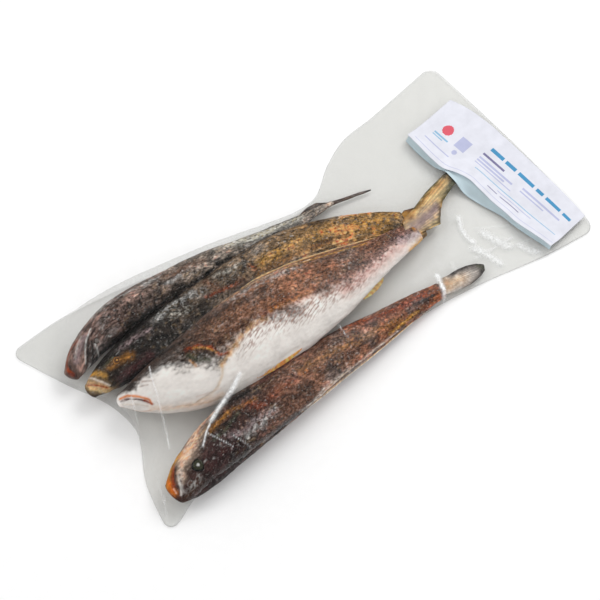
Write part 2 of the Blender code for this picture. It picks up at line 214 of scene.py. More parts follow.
# Marks painted on each fish from first to last: what it is, pigment, half width in millimetres,
# strength, height in millimetres, raggedness, and its line as (share of length, angle).
# Angle 0 is the back, 90 the flank that lies upwards and 180 the belly.
MARKS = {
    "pale": (
        ("dark back", "umber", 4.6, 0.6, 0, 1,
         ((0.104, 45), (0.176, 43), (0.254, 48), (0.334, 51), (0.392, 55), (0.478, 59), (0.564, 60))),
        ("rear of the back", "umber", 3.4, 0.5, 0, 1, ((0.618, 62), (0.718, 59), (0.804, 56))),
        ("warm flank", "brown", 5.0, 0.45, 0, 1, ((0.354, 85), (0.454, 80), (0.556, 83), (0.672, 86))),
        ("orange scales", "rust", 3.2, 0.55, 0, 1,
         ((0.448, 91), (0.502, 92), (0.558, 95), (0.618, 97))),
        ("ochre flank", "ochre", 2.6, 0.6, 0, 1, ((0.474, 92), (0.538, 95), (0.61, 97))),
        ("plum edge", "maroon", 3.0, 0.6, 0, 1,
         ((0.668, 101), (0.732, 106), (0.812, 101), (0.9, 83), (0.954, 70))),
        ("rose rear", "rose", 7.0, 0.8, 0, 0.5,
         ((0.694, 125), (0.762, 125), (0.852, 120), (0.932, 116))),
        ("lilac tail root", "lilac", 4.8, 0.95, 0, 0.6, ((0.936, 97), (0.968, 103), (1.0, 115))),
        ("gold of the tail root", "gold", 3.0, 0.9, 0, 0.5, ((0.95, 183), (0.978, 184), (1.0, 162))),
        ("ochre of the tail root", "ochre", 2.2, 0.9, 0, 0.6, ((0.988, 7), (1.0, 35), (1.0, 89))),
        ("grey scales", "frost", 3.4, 0.6, 0, 2.2,
         ((0.416, 40), (0.464, 41), (0.514, 45), (0.57, 47), (0.628, 46))),
        ("dark spots on the back", "black", 2.4, 0.7, 0, 1, ((0.32, 44), (0.356, 45), (0.396, 49))),
        ("gold edge of the belly", "gold", 2.6, 0.65, 0, 1,
         ((0.274, 118), (0.31, 109), (0.356, 101), (0.394, 97), (0.428, 95), (0.45, 98))),
        ("head shade", "grey", 3.4, 0.7, 0, 1, ((0.074, 63), (0.104, 66), (0.152, 63), (0.196, 60))),
        ("frost of the head", "frost", 2.2, 0.55, 0, 1, ((0.094, 78), (0.136, 74), (0.16, 81))),
        ("shade above the gill", "black", 2.6, 0.9, 0, 0.9, ((0.14, 38), (0.186, 42), (0.226, 49))),
        ("shade before the gill", "black", 1.6, 0.8, 0, 0.8, ((0.202, 72), (0.23, 66))),
        ("gill hinge", "rust", 1.7, 0.9, 0.3, 0.8,
         ((0.216, 69), (0.252, 75), (0.278, 89), (0.286, 104), (0.304, 107))),
        ("gill hinge gleam", "gold", 0.7, 0.85, 0.2, 0.5, ((0.236, 73), (0.268, 86), (0.282, 98))),
        ("gill shade", "moss", 2.3, 0.9, -0.3, 0.9, ((0.212, 80), (0.23, 94), (0.254, 102))),
        ("gill spot", "ochre", 1.7, 0.9, 0, 0.9, ((0.21, 89), (0.216, 100))),
        ("gill cover edge", "tan", 1.3, 0.45, -0.5, 0.6,
         ((0.28, 111), (0.264, 129), (0.238, 144), (0.208, 154), (0.18, 160))),
        ("throat line", "tan", 0.9, 0.5, -0.2, 0.5,
         ((0.126, 161), (0.168, 164), (0.208, 171), (0.232, 171))),
        ("upper throat line", "pink", 0.9, 0.35, 0, 0.5, ((0.182, 147), (0.216, 149), (0.242, 149))),
        ("snout", "grey", 3.0, 0.85, 0, 0.9, ((0.002, 19), (0.028, 26), (0.052, 25))),
        ("snout shade", "soot", 1.2, 0.7, 0, 0.9, ((0.012, 23), (0.046, 25), (0.066, 25))),
        ("cheek dash", "brown", 0.9, 0.65, 0, 0.9, ((0.07, 78), (0.098, 91))),
        ("lower cheek dash", "brown", 0.7, 0.5, 0, 0.9, ((0.06, 88), (0.082, 94))),
        ("upper lip", "orange", 1.3, 0.95, 0.5, 0.3,
         ((0.0, 97), (0.02, 98), (0.05, 116), (0.072, 131), (0.074, 145))),
        ("mouth slit", "maroon", 1.0, 1, -1.0, 0.9,
         ((0.0, 114), (0.022, 114), (0.048, 125), (0.066, 139))),
        ("mouth corner", "rust", 1.5, 0.95, 0, 0.4, ((0.06, 132), (0.074, 145))),
        ("lower lip", "cream", 1.2, 0.8, 0.5, 0.3,
         ((0.0, 145), (0.018, 140), (0.044, 142), (0.068, 153))),
        ("throat tint", "salmon", 4.0, 0.6, 0, 0.5,
         ((0.07, 163), (0.124, 165), (0.168, 164), (0.21, 165), (0.238, 164))),
        ("chin", "pink", 0.9, 0.8, 0, 0.4, ((0.0, 182), (0.018, 197), (0.064, 171))),
        ("ridge", "tan", 0.9, 0.8, 0.4, 0.4,
         ((0.364, 16), (0.414, 31), (0.454, 29), (0.532, 35), (0.582, 37), (0.642, 36))),
        ("broad ridge", "gold", 1.5, 0.7, 0.2, 0.6,
         ((0.598, 37), (0.672, 39), (0.78, 43), (0.848, 44))),
        ("gleam of the ridge", "bone", 0.7, 0.6, 0.2, 0.6, ((0.524, 33), (0.594, 34), (0.672, 38))),
    ),
    "near": (
        ("throat", "salmon", 9.0, 1, 0, 0.35,
         ((0.222, 171), (0.188, 171), (0.15, 153), (0.118, 142), (0.088, 136))),
        ("cheek", "salmon", 4.6, 0.9, 0, 0.8, ((0.096, 134), (0.066, 124), (0.04, 105))),
        ("white of the cheek", "bone", 1.8, 0.6, 0, 0.9, ((0.052, 116), (0.028, 95), (0.018, 69))),
        ("throat line", "tan", 0.9, 0.6, -0.2, 0.5, ((0.114, 134), (0.154, 134), (0.198, 135))),
        ("snout", "umber", 4.8, 0.9, 0, 0.9, ((0.012, 39), (0.042, 60), (0.068, 64))),
        ("snout specks", "frost", 3.6, 0.5, 0, 2.4, ((0.026, 60), (0.048, 65), (0.074, 70))),
        ("crown", "black", 5.0, 0.85, 0, 1, ((0.03, -4), (0.08, 12), (0.144, 17), (0.21, 21))),
        ("forehead", "soot", 4.6, 0.8, 0, 1, ((0.084, 55), (0.132, 59), (0.176, 60))),
        ("head shade", "maroon", 3.2, 0.5, 0, 1, ((0.106, 63), (0.156, 67), (0.2, 65))),
        ("jaw", "gold", 3.8, 1, 0.3, 0.35, ((0.086, 159), (0.05, 173), (0.016, 165), (0.0, 137))),
        ("jaw tip", "orange", 3.6, 1, 0.3, 0.4, ((0.01, 141), (0.0, 120), (0.0, 90))),
        ("mouth slit", "rust", 2.0, 0.95, -0.8, 0.5, ((0.048, 153), (0.026, 135), (0.01, 112))),
        ("gleam of the jaw", "salmon", 0.8, 0.8, 0, 0.6, ((0.006, 105), (0.002, 83))),
        ("mouth gap", "bone", 1.1, 0.95, -0.4, 0.5, ((0.038, 115), (0.024, 92), (0.008, 65))),
        ("eye socket", "black", 5.0, 0.8, -0.4, 0.6, ((0.096, 95), (0.092, 87))),
        ("ochre cheek", "ochre", 2.6, 0.9, 0, 0.9, ((0.176, 120), (0.216, 121), (0.248, 121))),
        ("dark wedge", "black", 3.0, 0.95, 0, 0.7, ((0.272, 142), (0.302, 138), (0.338, 134))),
        ("gill shade", "black", 2.6, 0.8, -0.3, 0.9, ((0.2, 108), (0.222, 105), (0.25, 101))),
        ("gill edge", "moss", 1.6, 0.8, 0, 0.9, ((0.17, 101), (0.214, 98), (0.27, 108))),
        ("ochre streak", "ochre", 2.0, 0.7, 0, 1, ((0.252, 125), (0.292, 115), (0.338, 109))),
        ("rust flank of the front", "rust", 4.2, 0.4, 0, 1,
         ((0.306, 113), (0.336, 88), (0.422, 94), (0.496, 92))),
        ("lilac patch", "lilac", 3.4, 0.6, 0, 1, ((0.208, 82), (0.252, 71), (0.296, 72), (0.352, 67))),
        ("grey scales", "frost", 3.8, 0.7, 0, 2.0,
         ((0.246, 62), (0.286, 62), (0.336, 63), (0.364, 68))),
        ("plum belly edge", "maroon", 2.4, 0.85, 0, 0.8,
         ((0.386, 136), (0.466, 140), (0.52, 137), (0.592, 155), (0.654, 170))),
        # Painted shade, drawn black: the near fish's lower edge, where its back turns away from the
        # light.
        ("painted shade of the back edge", "black", 2.6, 1, 0, 0.6,
         ((0.148, -5), (0.208, -6), (0.314, 11), (0.418, 15), (0.476, 14))),
        ("ochre flank", "ochre", 3.6, 0.55, 0, 1,
         ((0.484, 99), (0.558, 100), (0.642, 92), (0.738, 85), (0.836, 70))),
        ("dark flank", "umber", 3.4, 0.6, 0, 1, ((0.416, 60), (0.484, 60), (0.546, 66))),
        ("rust flank", "rust", 3.8, 0.7, 0, 1, ((0.688, 154), (0.768, 132), (0.858, 111), (0.95, 115))),
        ("pale belly patch", "cream", 2.6, 0.75, 0, 0.9,
         ((0.484, 20), (0.522, 29), (0.566, 25), (0.618, 28))),
        ("pale belly line", "cream", 1.0, 0.9, 0.3, 0.5,
         ((0.422, 20), (0.484, 15), (0.56, 21), (0.63, 26), (0.708, 30), (0.812, 27))),
        # Painted shade along the lower edge below the pale line, where the body turns from the light.
        ("painted shade below the pale line", "black", 1.2, 0.95, 0, 0.5,
         ((0.488, -5), (0.556, -6), (0.616, -4))),
        ("gold by the tail", "gold", 1.4, 0.8, 0, 0.5, ((0.784, 42), (0.844, 47), (0.902, 51))),
        ("dark tail patch", "black", 1.9, 0.95, 0, 0.6, ((0.9, 90), (0.946, 83), (0.98, 83))),
    ),
    "far": (
        ("brown specks", "brown", 3.4, 0.6, 0, 1, ((0.384, 54), (0.416, 81), (0.47, 79), (0.528, 83))),
        ("brown rear", "brown", 2.6, 0.6, 0, 1, ((0.562, 26), (0.592, 48), (0.616, 90))),
        ("frosty edge", "frost", 2.8, 0.65, 0, 2.0,
         ((0.158, 34), (0.216, 41), (0.272, 50), (0.33, 61), (0.39, 58))),
        ("grey rear edge", "mist", 4.2, 0.95, 0, 0.6,
         ((0.594, 51), (0.666, 62), (0.718, 77), (0.782, 82))),
        ("pale rear", "mist", 4.2, 0.95, 0, 0.5, ((0.648, 30), (0.726, 52), (0.806, 73), (0.88, 85))),
        ("dark flank", "soot", 4.0, 0.65, 0, 1, ((0.168, 94), (0.228, 100), (0.292, 100))),
        ("dark spots", "black", 2.4, 0.8, 0, 1, ((0.204, 116), (0.26, 102))),
        ("belly shade", "black", 6.4, 1, 0, 0.6,
         ((0.076, 173), (0.182, 178), (0.248, 158), (0.302, 153), (0.362, 144), (0.402, 142))),
        ("rear shade", "black", 3.4, 1, 0, 0.7,
         ((0.422, 128), (0.468, 131), (0.502, 132), (0.572, 116), (0.61, 121))),
        ("last shade", "soot", 1.8, 0.9, 0, 0.8,
         ((0.61, 121), (0.658, 120), (0.718, 109), (0.794, 104))),
        ("frost by the shade", "frost", 1.6, 0.7, 0, 1, ((0.39, 97), (0.414, 99), (0.44, 95))),
        ("plate", "lilac", 2.8, 0.8, 0, 0.6, ((0.1, 73), (0.066, 81), (0.032, 96))),
        ("plate gleam", "bone", 1.0, 0.7, 0, 0.7, ((0.098, 58), (0.064, 71), (0.04, 81))),
        ("outline", "rust", 1.2, 0.7, 0, 0.6, ((0.082, 53), (0.046, 35), (0.016, 37), (0.0, 80))),
        ("first dark gill", "black", 1.3, 0.9, -0.5, 0.4, ((0.106, 87), (0.068, 121), (0.038, 146))),
        ("first pale gill", "frost", 0.8, 0.9, 0.4, 0.4,
         ((0.128, 77), (0.096, 87), (0.062, 113), (0.038, 138))),
        ("second pale gill", "frost", 0.9, 0.9, 0.4, 0.4, ((0.102, 122), (0.074, 192), (0.042, 188))),
        ("second dark gill", "black", 1.1, 0.9, -0.5, 0.4, ((0.102, 107), (0.072, 146), (0.04, 187))),
        ("third pale gill", "frost", 0.8, 0.85, 0.3, 0.4, ((0.046, 161), (0.014, 185))),
        ("lips", "rust", 1.6, 1, 0.3, 0.4, ((0.006, 58), (0.0, 101))),
        ("mouth", "maroon", 0.7, 1, -0.4, 0.4, ((0.0, 73), (0.0, 113))),
    ),
    "middle": (
        ("golden rear", "gold", 5.0, 0.7, 0, 1,
         ((0.59, 86), (0.66, 83), (0.718, 81), (0.806, 80), (0.916, 78), (0.988, 67))),
        ("ochre lower rear", "ochre", 3.0, 0.65, 0, 1,
         ((0.56, 103), (0.632, 108), (0.714, 111), (0.794, 115))),
        ("brown dashes", "brown", 1.6, 0.6, 0, 1, ((0.742, 107), (0.796, 109), (0.856, 111))),
        ("brown flank", "brown", 3.6, 0.75, 0, 1, ((0.428, 43), (0.442, 84), (0.472, 95), (0.516, 97))),
        ("rust streak", "rust", 1.6, 0.6, 0, 1, ((0.4, 80), (0.446, 89), (0.49, 94))),
        ("frosted scales", "frost", 4.4, 0.75, 0, 2.2,
         ((0.254, 53), (0.31, 44), (0.358, 51), (0.396, 62))),
        ("frost below", "mist", 3.0, 0.6, 0, 2.2, ((0.292, 71), (0.342, 79))),
        ("frost of the rear", "mist", 3.0, 0.6, 0, 2.2, ((0.464, 51), (0.498, 59), (0.538, 61))),
        ("crown", "lilac", 3.6, 0.6, 0, 2.2, ((0.128, 57), (0.166, 60), (0.21, 68))),
        ("gill shade", "black", 3.6, 0.9, 0, 0.9, ((0.2, 94), (0.236, 97), (0.266, 116), (0.296, 118))),
        ("dark spots", "black", 2.6, 0.85, 0, 1, ((0.342, 103), (0.364, 106), (0.39, 111))),
        ("back shade", "black", 4.4, 1, 0, 0.6,
         ((0.082, 13), (0.148, 38), (0.202, 23), (0.246, 34), (0.304, 23), (0.34, 29))),
        ("rear back shade", "black", 1.8, 0.9, 0, 0.8,
         ((0.366, 12), (0.406, 17), (0.436, 31), (0.502, 13))),
        ("last back shade", "soot", 1.6, 0.85, 0, 0.8,
         ((0.52, 29), (0.564, 35), (0.616, 26), (0.688, 10))),
        ("head shade", "soot", 3.4, 0.85, 0, 0.9, ((0.058, 189), (0.088, 190), (0.12, 161))),
        # The maroon cheek below the eye is painted shade: the cheek and gill cover in shadow.
        ("cheek", "maroon", 3.8, 0.9, 0, 0.9, ((0.072, 139), (0.114, 132), (0.154, 128), (0.184, 122))),
        ("gold round the eye", "ochre", 3.6, 0.95, 0, 0.9, ((0.076, 82), (0.102, 85), (0.136, 98))),
        ("green by the eye", "moss", 1.8, 0.7, 0, 0.9, ((0.068, 65), (0.096, 63))),
        ("tip", "tan", 6.0, 0.95, 0, 0.6, ((0.008, 58), (0.022, 107), (0.034, 168))),
        ("snout", "gold", 2.6, 0.9, 0, 0.6, ((0.022, 9), (0.038, 54), (0.05, 93))),
        ("muzzle", "tan", 2.0, 0.8, 0, 0.6, ((0.006, 50), (0.024, 99), (0.04, 150))),
        ("upper lip", "cream", 1.0, 0.95, 0.5, 0.4, ((0.014, 8), (0.028, 86), (0.044, 138))),
        ("mouth slit", "rust", 1.0, 1, -0.9, 0.7, ((0.002, 51), (0.018, 97), (0.036, 144))),
        ("lower lip", "straw", 2.2, 0.85, 0.4, 0.5, ((0.002, 86), (0.016, 133), (0.034, 188))),
        ("pale line of the belly", "tan", 0.9, 0.8, 0.5, 0.4,
         ((0.682, 116), (0.754, 122), (0.838, 126), (0.906, 127))),
        ("rust spot", "rust", 2.0, 0.8, 0, 1, ((0.556, 79), (0.56, 88))),
    ),
}

# Eyes: share of length, angle, radius and height in millimetres, and pigments of rim, iris, pupil.
EYES = {
    "pale": (0.034, 30, 2.4, 0.7, "grey", "soot", "lilac"),
    "near": (0.094, 91, 4.6, 1.4, "black", "olive", "frost"),
    "far": (0.112, 120, 2.2, 0.6, "soot", "grey", "grey"),
    "middle": (0.100, 82, 2.8, 0.9, "ochre", "umber", "gold"),
}

EYE_RINGS = 28
EYE_TURNS = 56

# Fins lie between two lines of points in millimetres (x, y, z). Their pigments run from the first
# line to the second, and marks are (pigment, half width, strength, points (x, y)).
FINS = {
    "pale_tail_fin": {
        "from": ((94.5, 2.6, 16.4), (90.7, -6.0, 17.0), (86.9, -15.4, 14.6)),
        "to": (
            (109.0, 7.0, 11), (127.0, 13.7, 9), (149.5, 18.4, 7.5), (153.0, 17.9, 7), (152.4, 7.5, 7),
            (145.5, 5.1, 7.5), (132.4, -0.1, 8.5), (125.3, -6.5, 9), (118.8, -14.4, 9),
            (113.6, -12.5, 9.5), (106.1, -12.1, 10), (104.1, -15.9, 10.5), (96.2, -17.2, 11),
            (90.3, -18.6, 12),
        ),
        "pigments": ("straw", "straw", "straw"), "rays": 34, "thickness": 0.9,
        "marks": (
            ("gold", 3.0, 0.55, ((104, 4), (126, 10), (148, 14))),
            ("brown", 2.6, 0.7, ((93, 3), (90, -3), (88, -8))),
            ("ochre", 2.6, 0.8, ((92, 3), (98, 3), (104, 1))),
            ("ochre", 1.4, 0.6, ((108, 5), (128, 11), (146, 15))),
            ("lilac", 5.0, 0.9, ((92, -8), (104, -6), (114, -4), (124, -3))),
            ("gold", 2.0, 0.7, ((126, -6), (134, 0), (142, 4))),
            ("gold", 3.6, 0.9, ((86, -15), (92, -16), (100, -15))),
            ("moss", 2.0, 0.9, ((109, 7.5), (127, 13.7), (149.5, 18.0))),
            ("soot", 4.2, 0.85, ((147, 15), (152, 16), (151, 9))),
            ("moss", 3.2, 0.95, ((151, 9), (144, 5.4), (135, 0.8))),
            ("soot", 1.6, 0.8, ((127, -4), (119, -13), (114, -11.8))),
            ("umber", 2.2, 0.85, ((106.1, -12.6), (103, -15.4), (97, -16.8))),
        ),
    },
    "near_tail_fin": {
        "from": ((88.5, -49.0, 8), (83.9, -53.9, 8), (82.5, -59.4, 7)),
        "to": (
            (96.4, -50.5, 6), (106.1, -50.2, 5.5), (113.5, -51.6, 5), (121.0, -54.6, 4.5),
            (124.6, -58.5, 4.5), (123.2, -62.4, 4.5), (117.7, -64.6, 4.5), (107.0, -65.8, 5),
            (97.9, -64.1, 5.5), (89.3, -62.6, 6),
        ),
        "pigments": ("tan", "cream", "grey"), "rays": 26, "thickness": 1.0,
        "marks": (
            ("tan", 5.0, 0.5, ((92, -56), (104, -58))),
            ("grey", 3.0, 0.7, ((96, -51), (106, -51.5), (115, -54))),
            ("soot", 1.8, 0.85, ((100, -50.5), (113, -51.6), (121, -54.6))),
            ("soot", 2.6, 0.9, ((121, -55), (124, -60), (118, -64.6))),
            ("moss", 1.4, 0.8, ((120, -57), (122, -60))),
            ("soot", 1.2, 0.8, ((118, -64.6), (107, -65.8))),
            ("bone", 1.2, 0.7, ((88, -63), (98, -63.5))),
        ),
    },
    "middle_tail_fin": {
        "from": ((93.5, 7.5, 10), (92.0, 1.5, 10), (90.5, -3.0, 10)),
        "to": ((104.0, 12.0, 8), (112.0, 10.0, 7), (116.0, 2.0, 7), (108.0, -6.0, 7.5), (98.0, -7.0, 8)),
        "pigments": ("ochre", "ochre", "umber"), "rays": 20, "thickness": 0.9,
        "marks": (("gold", 2.0, 0.8, ((96, 8), (104, 9))),),
    },
    "far_tail_fin": {
        "from": (
            (34.0, 53.0, 7), (48.0, 51.5, 6), (57.0, 50.5, 5.5), (64.0, 49.8, 5), (76.0, 47.4, 4),
            (88.0, 44.6, 3.5), (97.0, 42.6, 3),
        ),
        "to": (
            (34.0, 56.0, 7), (48.0, 59.4, 6), (56.0, 58.5, 5.5), (64.0, 53.4, 5), (76.0, 49.8, 4),
            (88.0, 46.8, 3.5), (97.4, 43.4, 3),
        ),
        "pigments": ("umber", "grey", "umber"), "rays": 5, "thickness": 1.4,
        "marks": (
            ("soot", 3.0, 0.6, ((46, 57), (56, 54))),
            ("umber", 2.0, 0.6, ((62, 51.5), (80, 47.5))),
            ("soot", 1.5, 0.8, ((92, 45), (97, 43))),
        ),
    },
    "pale_anal_fin": {
        "from": (
            (31.5, -28.6, 14), (38.0, -27.6, 13), (45.5, -25.4, 12), (51.0, -22.8, 11.5),
            (56.0, -22.9, 11),
        ),
        "to": (
            (32.8, -30.0, 13), (39.5, -30.2, 11.5), (47.5, -28.8, 10.5), (53.5, -26.4, 10),
            (56.5, -23.8, 10.5),
        ),
        "pigments": ("sun", "sun", "sun"), "rays": 6, "thickness": 0.8,
        "marks": (("gold", 1.2, 0.4, ((33, -29), (42, -28))),),
    },
    "middle_dorsal_fin": {
        "from": (
            (53.0, 33.0, 14.5), (60.0, 30.5, 14.5), (70.0, 25.0, 14.5), (80.0, 19.0, 13.5),
            (91.0, 10.0, 12.5),
        ),
        "to": (
            (56.0, 36.0, 11.5), (66.0, 33.8, 10.5), (77.0, 28.8, 10), (88.0, 20.8, 9.5),
            (97.0, 11.0, 10),
        ),
        "pigments": ("ochre", "tan", "bone"), "rays": 22, "thickness": 0.7,
        "marks": (),
    },
}

# Fins folded against a body: fish, shares of its length, angle of the root, angle of the edge,
# how far the edge stands off in millimetres, pigments from root to edge, and number of rays.
FOLDED_THICKNESS = 0.7
FOLDED_FINS = {
    "near_dorsal_fin": ("near", 0.42, 0.92, 14, -10, 1.2, ("umber", "tan", "bone"), 40),
    "pale_pelvic_fin": ("pale", 0.334, 0.494, 168, 177, 1.1, ("amber", "amber", "amber"), 10),
    "middle_anal_fin": ("middle", 0.62, 0.93, 138, 160, 0.6, ("ochre", "tan", "gold"), 24),
    "pale_dorsal_fin": ("pale", 0.46, 0.90, 27, 10, 1.0, ("ochre", "tan", "straw"), 26),
}
FIN_ROWS = 34
LOWEST_FIN = 0.0010

# Creases of the film: what it is, height and half width in millimetres, whitening from 0 to 1,
# and its line (x, y) in millimetres. The whitening is partly the creased film's own and partly
# painted highlight along the creases; the low soft bands are mostly painted highlight.
CREASES = (
    ("broad fold between two fish", 1.6, 2.4, 0.85,
     ((-81, -32), (-93.4, -37.3), (-105.9, -40.6), (-116.6, -45.2))),
    ("tail of the broad fold", 0.9, 1.1, 0.80,
     ((-112, -43.5), (-118.6, -46.5), (-124.2, -50), (-132, -56.9))),
    ("fold below the pale head", 0.8, 0.7, 0.62,
     ((-128, 13), (-131.5, 5.7), (-136.9, -10.6), (-142.9, -25.2), (-149, -38.6))),
    ("short fold before the mouth", 0.6, 0.7, 0.42, ((-150.2, 4.4), (-153.8, -4.4), (-156.2, -10.3))),
    ("first fold across the near head", 0.4, 0.5, 0.62, ((-124, -51.4), (-115.3, -69.2))),
    ("second fold across the near head", 0.4, 0.5, 0.55, ((-111, -62.2), (-104.9, -75.2))),
    ("fold by the pale belly", 0.4, 0.6, 0.45, ((1, -39.3), (1.4, -50.5))),
    ("fold over the near tail root", 0.9, 2.7, 0.88,
     ((89.6, -45.6), (87.6, -53), (85.4, -59.9), (82.4, -64.6))),
    ("tail crease three", 0.3, 2.2, 0.34, ((124.4, -50.1), (142.8, -51.5), (157.2, -52.9))),
    ("tail crease four", 0.3, 1.4, 0.20, ((140, -30), (152, -38), (168, -46))),
    ("tail crease five", 0.5, 1.3, 0.26, ((150, -58), (166, -62), (186, -72))),
    ("soft band by the tail fin", 0.2, 3.4, 0.62,
     ((135.9, -15.6), (131.7, -23.1), (130.4, -30.6), (131.4, -38.8))),
    ("soft band by the label", 0.2, 5.6, 0.62, ((142.8, -36.9), (145, -46), (150.2, -56.3))),
    ("soft band by the near tail fin", 0.2, 5.0, 0.56,
     ((128.7, -42.1), (132.7, -51.4), (136.2, -63.5))),
    ("soft band at the corner", 0.15, 4.6, 0.52, ((157.9, -61.1), (161.2, -68.9), (165.5, -75.3))),
    ("soft band before the near tail fin", 0.1, 2.6, 0.22,
     ((107.1, -42.4), (105.4, -47), (104.6, -49))),
    ("fold from the near snout", 0.6, 0.9, 0.30, ((-172, -64), (-177, -72), (-181, -80))),
    ("second fold from the near snout", 0.5, 0.8, 0.26, ((-168, -50), (-173, -62), (-178, -76))),
)

# Label: its middle, its size, and how far its long inner edge curls up off the film.
LABEL_CENTRE = (0.1795, -0.006)
LABEL_HEIGHT = 0.050
LABEL_LENGTH = 0.142
LABEL_TURN = 7.0
# How far its inner and outer edges wander inwards and the width of the strip that peeks out, in
# millimetres, at places from -1 to 1 along it. The strip's teal-grey colour is partly the label's
# rolled underside and partly painted shadow that the label casts on the film.
LABEL_EDGES = (
    (-1.0, -1.5, 0.0), (-0.8, 0.0, -4.0), (-0.6, 0.8, -5.5), (-0.42, 0.0, -6.0), (-0.31, -3.6, -5.6),
    (-0.17, -6.4, -5.4), (0.0, -6.0, -4.8), (0.2, -5.6, -4.2), (0.37, -6.4, -3.4), (0.55, -6.0, -2.6),
    (0.73, -7.0, -1.4), (0.92, -8.8, 0.2), (1.0, -9.4, 1.2),
)
FOLD_WIDTH = (
    (-1.0, 1.6), (-0.83, 1.6), (-0.6, 0.6), (-0.42, 0.8), (-0.31, 5.0), (-0.17, 8.6), (0.03, 6.5),
    (0.24, 3.0), (0.48, 0.8), (0.75, -0.2), (1.0, -0.4),
)
LABEL_GAP = 0.0004
LABEL_CURL = 0.004
LABEL_WAVE = 0.0012
LABEL_WAVES = 2.5
LABEL_SAG = 0.00002
# Cells of the sheet on which its hang is worked out, and how often it sinks and is smoothed.
LABEL_HANG_CELLS = (34, 12)
LABEL_SWEEPS = 160
LABEL_SMOOTHING = 4
LABEL_CELLS = (284, 100)
FOLD_CELLS = (172, 24)
FOLD_OVERLAP = 0.003
PAPER_ROUGHNESS = 0.62

# Print on the label in millimetres: ink, first and last place along it, first and last across it.
PRINT = (
    ("lavender", -66, 70, 20.6, 21.0),
    ("blue", -18, -5, -14.2, -11.4), ("blue", -2.5, 8, -14.0, -11.4), ("blue", 11, 27, -14.2, -11.4),
    ("blue", 30, 37, -14.0, -11.4), ("blue", 40, 55, -14.2, -11.4), ("blue", 58, 66, -14.0, -11.4),
    ("pale blue", -60, -46, 3.6, 4.8), ("pale blue", -60, -50, 6.0, 7.0),
    ("lavender", -41, -31, -7, 3), ("slate", -20, 2, -8.0, -6.6), ("lavender", -20, 14, -4.6, -3.2),
    ("lavender", -20, 8, -1.8, -0.6), ("lavender", -20, 17, 1.0, 2.2), ("lavender", 22, 46, -4.6, -3.4),
    ("lavender", 22, 60, -7.4, -6.2), ("pale blue", -16, 66, 6.6, 7.6), ("lavender", 10, 44, 10.4, 11.4),
    ("slate", 2, 12, 14.4, 15.4), ("slate", 15, 34, 14.4, 15.4), ("lavender", -62, -36, 13.2, 14.0),
)
# Round marks: ink, place along, place across, radius.
ROUND_PRINT = (("red", -53, -3.2, 4.4), ("lavender", -36, 7.4, 2.2))

# Seeds of the noise: the first piece's, and the step from each to the next.
BODY_SEEDS = (200, 40)
FIN_SEEDS = (400, 10)
FOLDED_FIN_SEEDS = (500, 10)

FLOOR_HALF_SIZE = 3
FLOOR_HEIGHT = -0.0004
# What the camera looks at, and how far it then moves to the right and up.
CAMERA_AIM = (0, 0, 0.015)
CAMERA_SHIFT = (-0.0029, -0.0048)
SENSOR_WIDTH = 36.0
# Lights: name, side of the square, place and aim.
LIGHTS = {
    "key": ("key light", 0.75, (0.95, 0.25, 1.15), (0.0, 0.0, 0.0)),
    "fill": ("fill light", 0.45, (-0.75, 0.65, 1.05), (-0.05, 0.0, 0.0)),
}


def linear(screen):
    """Screen values from 0 to 255 as linear light."""
    share = np.asarray(screen, float) / 255
    return np.where(share > 0.04045, ((share + 0.055) / 1.055) ** 2.4, share / 12.92)


def colour_property(name, description, screen):
    """A colour that a user may change, given by its screen values."""
    return bpy.props.FloatVectorProperty(
        name=name, description=description, subtype="COLOR", size=3, min=0.0, max=1.0,
        default=tuple(linear(screen)),
    )


def length_property(name, description, metres):
    """A length that a user may change."""
    return bpy.props.FloatProperty(
        name=name, description=description, subtype="DISTANCE", unit="LENGTH", default=metres,
        min=0.0, precision=5,
    )


def share_property(name, description, share, most=1.0):
    """A plain number from zero up that a user may change."""
    return bpy.props.FloatProperty(
        name=name, description=description, default=share, min=0.0, max=most, precision=3
    )


class FishSettings(bpy.types.PropertyGroup):
    """Sizes and colours of the four fish."""

    scale_length: length_property("Scale length", "Length of one scale along the body", 0.0034)
    scale_width: length_property("Scale width", "Width of one scale round the body", 0.0028)
    scale_relief: length_property("Scale relief", "How far a scale stands out", 0.00034)
    wrinkle_relief: length_property("Wrinkle relief", "Height of the shrivelled skin", 0.00080)
    roughness: share_property("Skin roughness", "Roughness of the oily skin", 0.46)
    pale_head: colour_property("Pale fish, head", "Back of the top fish behind its head", (78, 58, 48))
    pale_middle: colour_property("Pale fish, middle", "Back of the top fish", (150, 102, 76))
    pale_tail: colour_property("Pale fish, tail", "Back of the top fish before its tail", (124, 84, 68))
    pale_belly: colour_property("Pale fish, belly", "Belly of the top fish", (240, 234, 230))
    near_head: colour_property("Near fish, head", "Head of the fish at the near edge", (66, 44, 41))
    near_middle: colour_property("Near fish, middle", "Flank of the near fish", (134, 95, 77))
    near_tail: colour_property("Near fish, tail", "Near fish before its tail", (142, 80, 50))
    far_head: colour_property("Far fish, head", "Head of the fish at the far edge", (122, 98, 90))
    far_middle: colour_property("Far fish, middle", "Flank of the far fish", (128, 114, 104))
    far_tail: colour_property("Far fish, tail", "Far fish before its tail", (128, 118, 110))
    middle_head: colour_property("Middle fish, head", "Head of the fish between", (52, 45, 41))
    middle_middle: colour_property("Middle fish, middle", "Flank of the fish between", (112, 94, 78))
    middle_tail: colour_property("Middle fish, tail", "Rear of the fish between", (176, 129, 62))
    underside: colour_property("Underside", "Skin that lies on the film", (176, 150, 130))


class FilmSettings(bpy.types.PropertyGroup):
    """The clear film of the pouch."""

    clearance: length_property("Clearance", "Room between the skin and the film", 0.0005)
    wrinkles: length_property("Wrinkles", "Height of the small wrinkles where the film hangs", 0.0006)
    tint: colour_property("Tint", "Light that one layer lets through", (245, 245, 244))
    milk: colour_property("Milk", "Colour of whitened film", (240, 241, 241))
    roughness: share_property("Gloss roughness", "Roughness of the film's gloss", 0.20)
    haze: share_property("Haze", "Whitening of plain film", 0.032)


